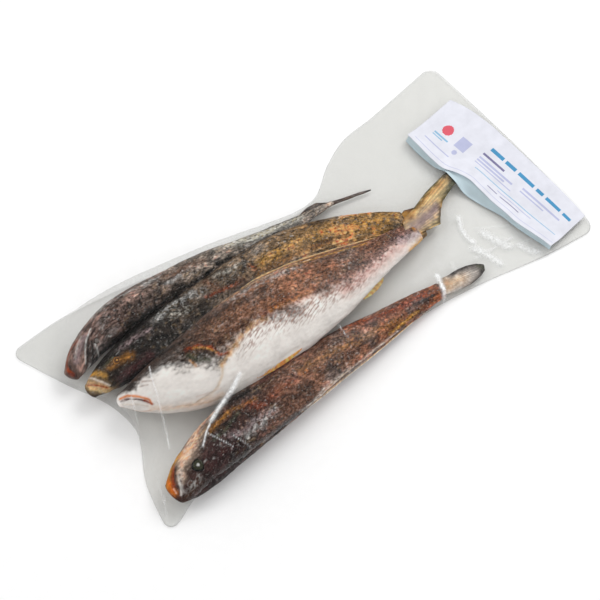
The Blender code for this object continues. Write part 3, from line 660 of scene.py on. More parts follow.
class LabelSettings(bpy.types.PropertyGroup):
    """The paper label and its plain print."""

    thickness: length_property("Thickness", "Thickness of the paper", 0.0004)
    paper: colour_property("Paper", "Colour of the paper", (216, 217, 226))
    # The strip's teal-grey is partly the label's rolled underside and partly painted shadow on the film.
    fold: colour_property("Fold", "Colour of the strip that peeks out", (192, 210, 217))
    blue: colour_property("Blue", "Ink of the heading bars", (52, 138, 184))
    pale_blue: colour_property("Pale blue", "Ink of the rules", (132, 178, 208))
    red: colour_property("Red", "Ink of the plain mark", (214, 80, 98))
    lavender: colour_property("Lavender", "Ink of the faint lines", (176, 180, 210))
    slate: colour_property("Slate", "Ink of the dark lines", (112, 108, 146))


class StageSettings(bpy.types.PropertyGroup):
    """Floor, lights and camera."""

    floor: colour_property("Floor", "Colour of the floor", (250, 250, 250))
    azimuth: bpy.props.FloatProperty(
        name="Azimuth", description="Direction of the camera, 0 looks along +Y", default=-37.3
    )
    elevation: bpy.props.FloatProperty(
        name="Elevation", description="Height of the camera above the horizon", default=65.0
    )
    distance: length_property("Distance", "Camera distance", 1.3)
    lens: bpy.props.FloatProperty(
        name="Lens", description="Focal length", default=106.0, unit="CAMERA"
    )
    sky: share_property("Sky", "Strength of the light from all round", 0.78, 5.0)
    key: share_property("Key light", "Power of the large light in watts", 9.0, 500.0)
    fill: share_property("Fill light", "Power of the second light in watts", 2.0, 500.0)


def curve(at, knots):
    """The smooth curve through knots (position, value, ...), read at each position.

    Between two knots it is the cubic that has their values and the mean slopes beside them.
    """
    table = np.array(knots, float)
    x, values = table[:, 0], table[:, 1:]
    slopes = np.gradient(values, x, axis=0)
    at = np.clip(np.asarray(at, float), x[0], x[-1])
    left = np.clip(np.searchsorted(x, at, side="right") - 1, 0, len(x) - 2)
    width = (x[left + 1] - x[left])[..., None]
    share = (at - x[left])[..., None] / width
    rest = 1 - share
    out = (
        (1 + 2 * share) * rest**2 * values[left]
        + share * rest**2 * width * slopes[left]
        + share**2 * (3 - 2 * share) * values[left + 1]
        - share**2 * rest * width * slopes[left + 1]
    )
    return out[..., 0] if out.shape[-1] == 1 else out


def along_line(share, points):
    """Places at shares 0 to 1 of the length of a line of straight pieces through the points."""
    points = np.array(points, float)
    steps = np.linalg.norm(np.diff(points, axis=0), axis=1)
    reach = np.concatenate([[0], np.cumsum(steps)])
    return np.stack([np.interp(share * reach[-1], reach, column) for column in points.T], -1)


def ease(value, low, high):
    """Goes smoothly from 0 at low to 1 at high."""
    share = np.clip((value - low) / (high - low), 0, 1)
    return share * share * (3 - 2 * share)


def smooth_noise(x, y, seed):
    """Value noise from 0 to 1: a random value at each pair of whole numbers, eased between them."""
    table = np.random.default_rng(seed).random((128, 128))
    column = np.floor(x).astype(int)
    row = np.floor(y).astype(int)
    across = x - column
    down = y - row
    across = across * across * (3 - 2 * across)
    down = down * down * (3 - 2 * down)
    near = table[column % 128, row % 128] * (1 - across) + table[(column + 1) % 128, row % 128] * across
    far = (
        table[column % 128, (row + 1) % 128] * (1 - across)
        + table[(column + 1) % 128, (row + 1) % 128] * across
    )
    return near * (1 - down) + far * down


def layered_noise(x, y, seed, layers=3):
    """Sum of value noises, each twice as fine and half as strong as the one before, from 0 to 1."""
    total = 0
    for layer in range(layers):
        total = total + smooth_noise(x * 2**layer + 17 * layer, y * 2**layer, seed + layer) / 2**layer
    return total / (2 - 2 ** (1 - layers))


def distance_to_line(points, line):
    """Distance from each point to a line of straight pieces, in whatever dimensions both have."""
    nearest = np.full(points.shape[:-1], np.inf)
    for start, end in zip(line[:-1], line[1:]):
        run = end - start
        share = np.clip(((points - start) @ run) / max(run @ run, 1e-12), 0, 1)
        nearest = np.minimum(nearest, np.linalg.norm(points - start - share[..., None] * run, axis=-1))
    return nearest


def unit_grid(cells):
    """The grid of the square -1..1 with so many cells along u and along v."""
    return np.meshgrid(*(np.linspace(-1, 1, count + 1) for count in cells), indexing="ij")


def grid_faces(rows, columns, wrap=False, first=0):
    """Quads between the points of a grid whose columns run fastest, closed round if it wraps."""
    row = np.arange(rows - 1)[:, None]
    column = np.arange(columns if wrap else columns - 1)[None, :]
    after = (column + 1) % columns
    corners = (
        row * columns + column,
        (row + 1) * columns + column,
        (row + 1) * columns + after,
        row * columns + after,
    )
    return np.stack(corners, -1).reshape(-1, 4) + first


def tube_faces(rows, columns):
    """Quads round a tube and a fan at each end, to two points that follow its own."""
    turn = np.arange(columns)
    after = (turn + 1) % columns
    count = rows * columns
    last = count - columns
    first_fan = np.stack([turn, after, np.full(columns, count)], -1)
    last_fan = np.stack([after + last, turn + last, np.full(columns, count + 1)], -1)
    return [grid_faces(rows, columns, wrap=True), first_fan, last_fan]


def with_ends(values):
    """A tube's values as one list, followed by the means of its first and its last ring."""
    return np.concatenate([values.reshape(-1, values.shape[-1]), values[[0, -1]].mean(1)])


def blend_cells(table, i, j, across, down):
    """Blends the four values of a table from (i, j) on, by shares of the cell across and down."""
    return (
        table[i, j] * (1 - across) * (1 - down) + table[i + 1, j] * across * (1 - down)
        + table[i, j + 1] * (1 - across) * down + table[i + 1, j + 1] * across * down
    )


def facing_out(points, faces):
    """Turns all faces round if the volume they enclose comes out negative."""
    volume = 0.0
    for corners in faces:
        for last in range(2, corners.shape[1]):
            a, b, c = points[corners[:, 0]], points[corners[:, last - 1]], points[corners[:, last]]
            volume += np.einsum("ij,ij->i", a, np.cross(b, c)).sum()
    return faces if volume > 0 else [corners[:, ::-1] for corners in faces]


def add_values(mesh, name, kind, values):
    """Stores one number or one triple for each point of a mesh."""
    field = "value" if kind == "FLOAT" else "vector"
    attribute = mesh.attributes.new(name, kind, "POINT")
    attribute.data.foreach_set(field, values.astype(np.float32).ravel())


def add_piece(name, points, faces, colours=None, place=None, stands_for="bag"):
    """A smooth mesh piece from points of the drawing frame and arrays of faces of like size.

    colours are the skin's pigments, and place is (mm along, mm round, streaks, grain).
    """
    points = points.reshape(-1, 3)
    faces = facing_out(points - points.mean(0), faces)
    mesh = bpy.data.meshes.new(name)
    mesh.vertices.add(len(points))
    mesh.vertices.foreach_set("co", (points - MIDDLE).astype(np.float32).ravel())
    corners = np.concatenate([face.ravel() for face in faces])
    sizes = np.concatenate([np.full(len(face), face.shape[1]) for face in faces])
    mesh.loops.add(len(corners))
    mesh.loops.foreach_set("vertex_index", corners.astype(np.int32))
    mesh.polygons.add(len(sizes))
    mesh.polygons.foreach_set("loop_start", (np.cumsum(sizes) - sizes).astype(np.int32))
    mesh.update(calc_edges=True)
    mesh.shade_smooth()
    if colours is not None:
        skin = mesh.color_attributes.new("skin", "FLOAT_COLOR", "POINT")
        rgba = np.concatenate([colours, np.ones((len(points), 1))], 1)
        skin.data.foreach_set("color", rgba.astype(np.float32).ravel())
        add_values(mesh, "place", "FLOAT_VECTOR", place[:, :3])
        add_values(mesh, "grain", "FLOAT", place[:, 3])
    piece = bpy.data.objects.new(name, mesh)
    bpy.context.scene.collection.objects.link(piece)
    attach(piece, "root")
    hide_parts(stands_for)
    return piece


def closed_sheet(upper, lower):
    """Points and faces of a thin solid between two grids of like shape, closed along their rims."""
    rows, columns = upper.shape[:2]
    count = rows * columns
    ids = np.arange(count).reshape(rows, columns)
    rim = np.concatenate([ids[:-1, 0], ids[-1, :-1], ids[:0:-1, -1], ids[0, :0:-1]])
    after = np.roll(rim, -1)
    walls = np.stack([after, rim, rim + count, after + count], -1)
    faces = [grid_faces(rows, columns), grid_faces(rows, columns, first=count)[:, ::-1], walls]
    return np.concatenate([upper.reshape(-1, 3), lower.reshape(-1, 3)]), faces


def body_place(fish, share):
    """Axis points of a fish with unit vectors along it, to its back and to its upper flank.

    The axis is the smooth curve through the path. The back direction is the level normal of the
    axis, turned up by the roll, and the flank direction is square to it.
    """
    path = np.array(fish["path"])
    span = path[-1, 0] - path[0, 0]
    inside = np.clip(share, 0, 1)

    def point(at):
        x = path[0, 0] + at * span
        return np.concatenate([x[..., None], curve(x, path)], -1)

    low = np.clip(inside - 0.01, 0, 0.98)
    along = point(low + 0.02) - point(low)
    along /= np.linalg.norm(along, axis=-1, keepdims=True)
    side = np.stack([-along[..., 1], along[..., 0], np.zeros(share.shape)], -1)
    side /= np.linalg.norm(side, axis=-1, keepdims=True)
    up = np.cross(along, side)
    roll = np.radians(fish["roll"])
    back = fish["facing"] * (side * np.cos(roll) + up * np.sin(roll))
    flank = up * np.cos(roll) - side * np.sin(roll)
    centre = point(inside) + along * ((share - inside) * span)[..., None]
    return centre, along, back, flank


def half_sizes(key, share):
    """Half depth and half thickness of a fish's body at shares of its length."""
    inside = np.clip(share, 0, 1)
    depth = FISH[key]["half_depth"] * curve(inside, list(zip(BODY_SHARES, BODY_DEPTH[key])))
    return depth, FISH[key]["half_thickness"] * curve(inside, BODY_THICKNESS)


def body_surface(key, share, angle):
    """Points and outward normals of a fish's body at shares of its length and angles round it.

    A section is an oval: half depth times cosine of the angle towards the back, plus half
    thickness times its sine towards the upper flank. Both ends are rounded like half an egg.
    """
    centre, _, back, flank = body_place(FISH[key], share)
    beyond = (share - np.clip(share, 0, 1)) / SNOUT_SHARE
    cap = np.sqrt(np.clip(1 - beyond**2, 0, 1))
    depth, thick = (size * cap for size in half_sizes(key, share))
    turn = np.radians(angle)
    points = (
        centre + back * (depth * np.cos(turn))[..., None] + flank * (thick * np.sin(turn))[..., None]
    )
    normal = (
        back * (np.cos(turn) / np.maximum(depth, 1e-5))[..., None]
        + flank * (np.sin(turn) / np.maximum(thick, 1e-5))[..., None]
    )
    return points, normal / np.linalg.norm(normal, axis=-1, keepdims=True)


def body_line(key, knots, count=26):
    """Points of the surface along a line through knots (share, angle)."""
    places = along_line(np.linspace(0, 1, count), [(s * 200, a) for s, a in knots])
    return body_surface(key, places[:, 0] / 200, places[:, 1])[0]


def blend_colour(colours, pigment, strength):
    """Moves colours towards one pigment by a strength from 0 to 1."""
    return colours + (pigment - colours) * strength[..., None]


def skin_pattern(name, run, arc, seed):
    """One of PATTERNS: noise from -0.5 to 0.5, or patches from 0 to 1 where it has limits."""
    length, width, step, layers, *limits = PATTERNS[name]
    noise = layered_noise(run / length, arc / width, seed + step, layers)
    return ease(noise, *limits) if limits else noise - 0.5


def make_body(key, settings, seed):
    """One fish's body: an oval loft with scales, wrinkles, gill cover and mouth as relief.

    Relief along the normal = scales (root of the product of two slanting sines) + lengthwise
    wrinkles (folded noise) + lumps (noise) + each mark's bell curve of its distance.
    """
    fish = FISH[key]
    inside = np.linspace(0, 1, BODY_ROWS - NOSE_ROWS - TAIL_ROWS) ** 1.06
    nose = -SNOUT_SHARE * np.cos(np.linspace(0.02, np.pi / 2, NOSE_ROWS + 1)[:-1])
    tail = 1 + SNOUT_SHARE * np.sin(np.linspace(0, np.pi / 2 - 0.02, TAIL_ROWS + 1)[1:])
    share = np.concatenate([nose, inside, tail])[:, None]
    angle = (-90 + 360 * np.arange(BODY_COLUMNS) / BODY_COLUMNS)[None, :]
    share, angle = np.broadcast_arrays(share, angle)
    points, normals = body_surface(key, share, angle)
    run = share * (fish["path"][-1][0] - fish["path"][0][0])
    arc = np.radians(angle - 90) * (sum(half_sizes(key, share)) / 2)
    pattern = {name: skin_pattern(name, run, arc, seed) for name in PATTERNS}
    coarse, fine = pattern["coarse"], pattern["fine"]

    first = run / settings.scale_length + arc / settings.scale_width + pattern["wobble"]
    second = run / settings.scale_length - arc / settings.scale_width + pattern["wobble"]
    net = np.sqrt(abs(np.sin(np.pi * first) * np.sin(np.pi * second)))
    scaled = ease(share, 0.20, 0.32) * (1 - ease(share, 0.95, 1.0))
    folds = abs(2 * pattern["folds"])
    height = settings.scale_relief * (net - 0.6) * scaled
    height = height + settings.wrinkle_relief * (0.5 - folds) * (0.5 + 0.5 * scaled)
    height = height + LUMP_HEIGHT * pattern["lumps"] + PIT_HEIGHT * pattern["pits"]

    tones = [np.array(getattr(settings, key + "_" + part)) for part in ("head", "middle", "tail")]
    knots = [(0.0, *tones[0]), (0.22, *tones[0]), (0.48, *tones[1]), (1.0, *tones[2])]
    colours = np.clip(curve(share, knots), 0.004, 1)
    mottle = 2 * fish["mottle"] * coarse * 2.6 + 2.5 * fish["specks"] * fine
    colours = colours * np.exp2(mottle)[..., None]
    colours = blend_colour(colours, colours.mean(-1, keepdims=True) * 1.12, 0.5 * pattern["cool"])
    rims = (1 - ease(net, 0.10, 0.42)) * scaled
    # The first pale flecks, set by the glints pattern, are partly frost and partly painted glints; the
    # tan and soot flecks and the frost in the scale rims are the skin's own colour.
    for pigment, strength in (
        ("frost", fish["frost"] * pattern["glints"] * pattern["patches"]),
        ("tan", 0.42 * fish["specks"] * pattern["warm"] * ease(share, 0.10, 0.3)),
        ("soot", 0.75 * fish["mottle"] * pattern["dark"]),
        ("frost", 0.30 * fish["frost"] * rims * pattern["patches"]),
    ):
        colours = blend_colour(colours, linear(PIGMENTS[pigment]), strength)

    belly_from = curve(share, fish["belly"])
    ragged = 24 * fine + 18 * coarse + 6 * (net - 0.5) * scaled
    belly = ease(angle + ragged, belly_from - 13, belly_from + 17) * ease(-angle, -262, -246)
    pale = np.array(settings.pale_belly if key == "pale" else settings.underside)
    pale = pale * np.exp2(0.35 * coarse + 0.25 * fine)[..., None]
    dashes = ease(angle, belly_from - 8, belly_from + 4)
    dashes = dashes * (1 - ease(angle, belly_from + 10, belly_from + 36))
    dashes = dashes * ease(share, 0.30, 0.38) * (1 - 0.7 * ease(share, 0.72, 0.86)) * (key == "pale")
    colours = colours + (pale - colours) * belly[..., None]

    ridges, dabs = pattern["ridges"], pattern["dabs"]
    for _, pigment, width, strength, rise, ragged_by, line in MARKS[key]:
        distance = distance_to_line(points, body_line(key, line)) / MM
        bent = distance + ragged_by * width * (1.9 * ridges + 1.3 * dabs)
        bell = np.exp(-np.maximum(bent, 0) ** 2 / (width * 0.75) ** 2)
        bell = np.clip(bell * (1 + ragged_by * (2.4 * dabs + 1.5 * ridges)), 0, 1)
        paint = linear(PIGMENTS[pigment]) * np.exp2(0.9 * fine)[..., None]
        colours = blend_colour(colours, paint, strength * bell)
        height = height + rise * MM * np.exp(-(distance**2) / (width * 0.8) ** 2)

    height = height * ease(share, -SNOUT_SHARE, 0.01) * (1 - ease(share, 0.99, 1 + SNOUT_SHARE))
    points = points + normals * height[..., None]
    points[..., 2] = np.maximum(points[..., 2], LOWEST_SKIN)
    rough = (1 - 0.86 * belly) * (0.45 + 0.55 * ease(share, 0.02, 0.24))
    place = np.stack([run / MM, arc / MM, dashes, rough], -1)
    colours = np.clip(with_ends(colours), 0.003, 0.92)
    faces = tube_faces(BODY_ROWS, BODY_COLUMNS)
    piece = add_piece("fish_" + key, with_ends(points), faces, colours, with_ends(place))
    piece.data.materials.append(skin_material("smoked skin", settings.roughness, 0.36, 0.00040))


def make_eye(key):
    """One eye: a flattened ball set in the head, its pigment in rings from rim to pupil."""
    share, angle, radius, rise, rim, iris, pupil = EYES[key]
    place, normal = body_surface(key, np.array([share]), np.array([float(angle)]))
    place, normal = place[0], normal[0]
    across = np.cross(normal, (0.0, 0.0, 1.0))
    if np.linalg.norm(across) < 0.1:
        across = np.cross(normal, (0.0, 1.0, 0.0))
    across /= np.linalg.norm(across)
    down = np.cross(normal, across)
    tilt = np.linspace(0.06, np.pi - 0.06, EYE_RINGS)[:, None]
    turn = np.linspace(0, 2 * np.pi, EYE_TURNS, endpoint=False)[None, :]
    wavy = 1 + 0.05 * np.sin(3 * turn + 1) + 0.03 * np.sin(7 * turn)
    flat = radius * MM * np.sin(tilt) * wavy
    points = (
        place + normal * (rise * MM * np.cos(tilt) - 0.0002)[..., None] * np.ones((1, EYE_TURNS, 1))
        + across * (flat * np.cos(turn))[..., None] + down * (flat * np.sin(turn))[..., None]
    )
    ring = np.broadcast_to(np.sin(tilt), flat.shape)
    grain = layered_noise(turn * 2 + 0 * tilt, ring * 6, 61) - 0.5
    colours = np.ones(points.shape) * linear(PIGMENTS[iris])
    colours = blend_colour(colours, linear(PIGMENTS[rim]), ease(ring, 0.62, 0.92))
    colours = blend_colour(colours, linear(PIGMENTS[pupil]), 1 - ease(ring, 0.10, 0.34))
    colours = colours * np.exp2(0.8 * grain)[..., None]
    points = with_ends(points)
    none = np.zeros(len(points))
    place = np.stack([points[:, 0] / MM, points[:, 1] / MM, none, none + 0.3], -1)
    piece = add_piece("eye_" + key, points, tube_faces(EYE_RINGS, EYE_TURNS), with_ends(colours), place)
    piece.data.materials.append(skin_material("clouded eye", 0.22, 0.12, 0.00005))


def fin_columns(rays):
    """Shares along a fin's lines at which its columns of points lie."""
    return np.linspace(0, 1, 30 + 5 * rays)


def folded_lines(key, start, end, root, edge, off, rays):
    """Root and edge of a fin folded on a fish's body, from one share of its length to another.

    The edge's angle and its height off the skin swell from nothing at both ends, as a root of a
    sine.
    """
    at = fin_columns(rays)
    share = start + (end - start) * at
    swell = np.sin(np.pi * np.clip(at * 0.96 + 0.02, 0, 1)) ** 0.6
    foot, foot_normals = body_surface(key, share, root + 0 * share)
    tip, tip_normals = body_surface(key, share, root + (edge - root) * swell)
    return foot + foot_normals * 0.0001, tip + tip_normals * (off * MM * swell)[:, None]


def fin_points(start, end, rays, thickness, seed):
    """Upper and lower sides of a fin that spans from one line of points to another.

    The middle surface is a straight blend of the lines. The half thickness falls off towards the
    second line, and it rises on each ray by the sine of the place along the lines.
    """
    along = fin_columns(rays)
    across = np.linspace(0, 1, FIN_ROWS)[:, None]
    fringe = 1 - 0.02 * smooth_noise(along * rays * 1.4, 0 * along, seed)[None, :] * across**4
    reach = (across * fringe)[..., None]
    middle = start[None] * (1 - reach) + end[None] * reach
    ray = np.sin(np.pi * rays * along)[None, :] ** 2
    crumple = (layered_noise(along[None, :] * 7, across * 2.5, seed + 1) - 0.5) * 0.9 * MM * across
    half = thickness * MM / 2 * (1 - 0.72 * across) * (0.55 + 0.45 * ray)
    normal = np.cross(np.gradient(middle, axis=1), np.gradient(middle, axis=0))
    normal /= np.maximum(np.linalg.norm(normal, axis=-1, keepdims=True), 1e-12)
    normal = np.where(normal[..., 2:] < 0, -normal, normal)
    upper = middle + normal * (half + crumple)[..., None]
    lower = middle + normal * (crumple - half)[..., None]
    return upper, lower, across + 0 * ray, ray + 0 * across


def make_fin(name, start, end, pigments, rays, thickness, marks, seed):
    """One fin piece, with its pigments blended across it and darker between the rays."""
    upper, lower, across, ray = fin_points(start, end, rays, thickness, seed)
    tones = [(place, *linear(PIGMENTS[pigment])) for place, pigment in zip((0, 0.5, 1), pigments)]
    colours = np.clip(curve(across, tones), 0.01, 1)
    grain = layered_noise(upper[..., 0] / 0.0035, upper[..., 1] / 0.0025, seed + 5) - 0.5
    for pigment, width, strength, line in marks:
        line = along_line(np.linspace(0, 1, 20), line) * MM
        distance = distance_to_line(upper[..., :2], line) / MM + 1.2 * width * grain
        bell = np.exp(-np.maximum(distance, 0) ** 2 / width**2)
        colours = blend_colour(colours, linear(PIGMENTS[pigment]), strength * bell)
    colours = (colours * np.exp2(1.1 * grain + 0.55 * (ray - 0.6))[..., None]).reshape(-1, 3)
    points, faces = closed_sheet(upper, lower)
    points[:, 2] = np.maximum(points[:, 2], LOWEST_FIN)
    none = np.zeros(len(points))
    place = np.stack([points[:, 0] / MM, points[:, 1] / MM, none, none + 0.5], -1)
    colours = np.clip(np.concatenate([colours, colours]), 0.004, 0.9)
    piece = add_piece(name, points, faces, colours, place)
    piece.data.materials.append(skin_material("dried fin", 0.42, 0.22, 0.00015))


def build_material(name, nodes, wires):
    """A material from nodes {label: (kind, place, values)} and wires (from, output, to, input).

    A value that is named by a number or with a capital is an input's, and others are the node's
    own. Returns the material and its nodes by label.
    """
    material = bpy.data.materials.new(name)
    material.use_nodes = True
    tree = material.node_tree
    tree.nodes.clear()
    made = {}
    for label, (kind, place, values) in nodes.items():
        made[label] = tree.nodes.new("ShaderNode" + kind)
        made[label].location = place
        for key, value in values.items():
            if isinstance(key, int) or key[0].isupper():
                made[label].inputs[key].default_value = value
            else:
                setattr(made[label], key, value)
    for source, output, target, socket in wires:
        tree.links.new(made[source].outputs[output], made[target].inputs[socket])
    return material, made


def skin_material(name, roughness, grain_strength, bump_height):
    """Oily smoked skin: painted pigments under scales, dark and frosty grain, and small pits. The
    frosty flecks are partly frost and partly painted glints.

    The "place" attribute holds millimetres along and round the fish, so that scales and grain
    follow its body. The "grain" attribute says how strongly they show.
    """
    if name in bpy.data.materials:
        return bpy.data.materials[name]
    nodes = {
        "place": ("Attribute", (-1500, 0), {"attribute_name": "place"}),
        "amount": ("Attribute", (-1500, -300), {"attribute_name": "grain"}),
        "skin": ("Attribute", (-700, 500), {"attribute_name": "skin"}),
        "scaled": ("Mapping", (-1300, 200), {"Scale": (0.33, 0.42, 0.0)}),
        "scales": ("TexVoronoi", (-1100, 200), {"Scale": 1.0, "Randomness": 0.75}),
        "stretched": ("Mapping", (-1300, -100), {"Scale": (0.40, 0.84, 0.0)}),
        "slanting": ("Mapping", (-1300, -700), {
            "vector_type": "TEXTURE", "Rotation": (0.0, 0.0, np.radians(-21.0)),
            "Scale": (5.4, 0.95, 1.0),
        }),
        "streaks": ("TexNoise", (-1100, -700), {
            "noise_dimensions": "2D", "Scale": 1.0, "Detail": 1.5, "Roughness": 0.5,
        }),
        "depth": ("SeparateXYZ", (-1300, -950), {}),
        "grain": ("TexNoise", (-1100, -100), {"Scale": 0.95, "Detail": 4.0, "Roughness": 0.80}),
        "specks": ("TexNoise", (-1100, -400), {"Scale": 1.25, "Detail": 3.0, "Roughness": 0.7}),
        "tone": ("MapRange", (-850, -100), {
            "clamp": False, "From Min": 0.40, "From Max": 0.60,
            "To Min": 0.5 - grain_strength, "To Max": 0.5 + grain_strength,
        }),
        "cell": ("MapRange", (-850, 200), {"From Max": 0.75, "To Min": 1.22, "To Max": 0.50}),
        "both": ("Math", (-650, 50), {"operation": "MULTIPLY"}),
        "level": ("Mix", (-450, 0), {"data_type": "FLOAT", 2: 0.5}),
        "painted": ("Mix", (-200, 300), {"data_type": "RGBA", "blend_type": "OVERLAY", 0: 1.0}),
        # Pale flecks from the specks noise: partly frost, partly painted glints.
        "frost": ("MapRange", (-650, -400), {"From Min": 0.60, "From Max": 0.72, "To Max": 0.80}),
        "frosty": ("Math", (-450, -400), {"operation": "MULTIPLY"}),
        "whitened": ("Mix", (50, 300), {"data_type": "RGBA", 7: (0.60, 0.58, 0.56, 1)}),
        "dash": ("MapRange", (-850, -700), {"From Min": 0.50, "From Max": 0.62, "To Max": 0.72}),
        "dashed": ("Math", (-650, -850), {"operation": "MULTIPLY"}),
        "striped": ("Mix", (250, 300), {"data_type": "RGBA", 7: (0.30, 0.145, 0.11, 1)}),
        "coordinates": ("TexCoord", (-700, -650), {}),
        "shine": ("TexNoise", (-500, -650), {"Scale": 260.0, "Detail": 2.0}),
        "spread": ("MapRange", (-200, -500), {
            "From Min": 0.3, "From Max": 0.7, "To Min": roughness - 0.10, "To Max": roughness + 0.14,
        }),
        "bump": ("Bump", (-200, -250), {"Strength": 0.75, "Distance": bump_height}),
        "shader": ("BsdfPrincipled", (400, 0), {"Specular IOR Level": 0.13}),
        "output": ("OutputMaterial", (900, 0), {}),
    }
    wires = (
        ("place", "Vector", "scaled", "Vector"), ("place", "Vector", "stretched", "Vector"),
        ("place", "Vector", "slanting", "Vector"), ("place", "Vector", "depth", "Vector"),
        ("scaled", "Vector", "scales", "Vector"), ("stretched", "Vector", "grain", "Vector"),
        ("stretched", "Vector", "specks", "Vector"), ("slanting", "Vector", "streaks", "Vector"),
        ("grain", "Fac", "tone", "Value"), ("scales", "Distance", "cell", "Value"),
        ("tone", "Result", "both", 0), ("cell", "Result", "both", 1),
        ("amount", "Fac", "level", 0), ("both", "Value", "level", 3),
        ("skin", "Color", "painted", 6), ("level", 0, "painted", 7),
        ("specks", "Fac", "frost", "Value"), ("frost", "Result", "frosty", 0),
        ("amount", "Fac", "frosty", 1), ("frosty", "Value", "whitened", 0),
        ("painted", 2, "whitened", 6), ("streaks", "Fac", "dash", "Value"),
        ("dash", "Result", "dashed", 0), ("depth", "Z", "dashed", 1),
        ("dashed", "Value", "striped", 0), ("whitened", 2, "striped", 6),
        ("coordinates", "Object", "shine", "Vector"), ("shine", "Fac", "spread", "Value"),
        ("spread", "Result", "shader", "Roughness"), ("striped", 2, "shader", "Base Color"),
        ("grain", "Fac", "bump", "Height"), ("bump", "Normal", "shader", "Normal"),
        ("shader", "BSDF", "output", "Surface"),
    )
    return build_material(name, nodes, wires)[0]


def film_material(settings):
    """Clear film: a lightly tinted see-through layer, whitened by creases and frost, with gloss.
    The whitening on creases, held in the haze attribute, is partly painted highlight.

    The gloss grows with the fourth power of how edge-on the film is, from both of its sides.
    """
    nodes = {
        "coordinates": ("TexCoord", (-1100, -200), {}),
        "haze": ("Attribute", (-700, 250), {"attribute_name": "haze"}),
        "frost": ("TexNoise", (-900, 0), {"Scale": 420.0, "Detail": 4.0, "Roughness": 0.65}),
        "cloud": ("MapRange", (-700, 0), {
            "From Min": 0.35, "From Max": 0.75, "To Min": 0.55, "To Max": 1.7,
        }),
        "amount": ("Math", (-450, 150), {"operation": "MULTIPLY", "use_clamp": True}),
        "clear": ("BsdfTransparent", (-200, 300), {"Color": (*settings.tint, 1)}),
        "milk": ("BsdfDiffuse", (-200, 150), {"Color": (*settings.milk, 1)}),
        "body": ("MixShader", (100, 200), {}),
        "facing": ("LayerWeight", (-450, -50), {"Blend": 0.5}),
        "steep": ("Math", (-250, -50), {"operation": "POWER", 1: 4.0}),
        "mirror": ("MapRange", (-50, -50), {"To Min": 0.006, "To Max": 0.42}),
        "gloss": ("BsdfGlossy", (100, -150), {"Roughness": settings.roughness}),
        "bump": ("Bump", (-200, -250), {"Strength": 0.40, "Distance": 0.0004}),
        "ripple": ("TexNoise", (-450, -250), {"Scale": 300.0, "Detail": 1.0}),
        "whole": ("MixShader", (500, 100), {}),
        "output": ("OutputMaterial", (900, 0), {}),
    }
    wires = (
        ("coordinates", "Object", "frost", "Vector"), ("coordinates", "Object", "ripple", "Vector"),
        ("frost", "Fac", "cloud", "Value"), ("haze", "Fac", "amount", 0),
        ("cloud", "Result", "amount", 1), ("amount", "Value", "body", "Fac"),
        ("clear", "BSDF", "body", 1), ("milk", "BSDF", "body", 2),
        ("ripple", "Fac", "bump", "Height"), ("bump", "Normal", "gloss", "Normal"),
        ("facing", "Facing", "steep", 0), ("steep", "Value", "mirror", "Value"),
        ("mirror", "Result", "whole", "Fac"), ("body", "Shader", "whole", 1),
        ("gloss", "BSDF", "whole", 2), ("whole", "Shader", "output", "Surface"),
    )
    return build_material("clear film", nodes, wires)[0]


def paper_material(name, colour, roughness, cloudiness=0.08):
    """Paper or printed ink: one colour with faint fibre cloud and a fine tooth."""
    nodes = {
        "coordinates": ("TexCoord", (-900, 0), {}),
        "fibre": ("TexNoise", (-700, 0), {"Scale": 1400.0, "Detail": 4.0}),
        "cloud": ("TexNoise", (-700, -250), {"Scale": 110.0, "Detail": 2.0}),
        "tone": ("ValToRGB", (-450, 0), {}),
        "bump": ("Bump", (-200, -250), {"Strength": 0.3, "Distance": 0.00008}),
        "shader": ("BsdfPrincipled", (200, 0), {"Roughness": roughness}),
        "output": ("OutputMaterial", (900, 0), {}),
    }
    wires = (
        ("coordinates", "Object", "fibre", "Vector"), ("coordinates", "Object", "cloud", "Vector"),
        ("cloud", "Fac", "tone", "Fac"), ("tone", "Color", "shader", "Base Color"),
        ("fibre", "Fac", "bump", "Height"), ("bump", "Normal", "shader", "Normal"),
        ("shader", "BSDF", "output", "Surface"),
    )
    material, made = build_material(name, nodes, wires)
    dark = np.array(colour) * (1 - cloudiness)
    light = np.minimum(np.array(colour) * (1 + cloudiness / 2), 1)
    for stop, place, tone in zip(made["tone"].color_ramp.elements, (0.25, 0.70), (dark, light)):
        stop.position = place
        stop.color = (*tone, 1)
    return material


def rounded_corners(u, v):
    """Pulls the corners of the square -1..1 in to quarter circles of CORNER_RADIUS."""
    length = TAIL_END[0][1] - HEAD_END[0][1]
    width = FAR_EDGE[0][1] - NEAR_EDGE[0][1]
    cell_u = 2 * CORNER_RADIUS / length
    cell_v = 2 * CORNER_RADIUS / width
    du = np.maximum(abs(u) - (1 - cell_u), 0) / cell_u
    dv = np.maximum(abs(v) - (1 - cell_v), 0) / cell_v
    reach = np.hypot(du, dv)
    pull = np.where(reach > 0, np.maximum(du, dv) / np.maximum(reach, 1e-9), 1.0)
    u = np.where(du > 0, np.sign(u) * (1 - cell_u + cell_u * du * pull), u)
    v = np.where(dv > 0, np.sign(v) * (1 - cell_v + cell_v * dv * pull), v)
    return u, v


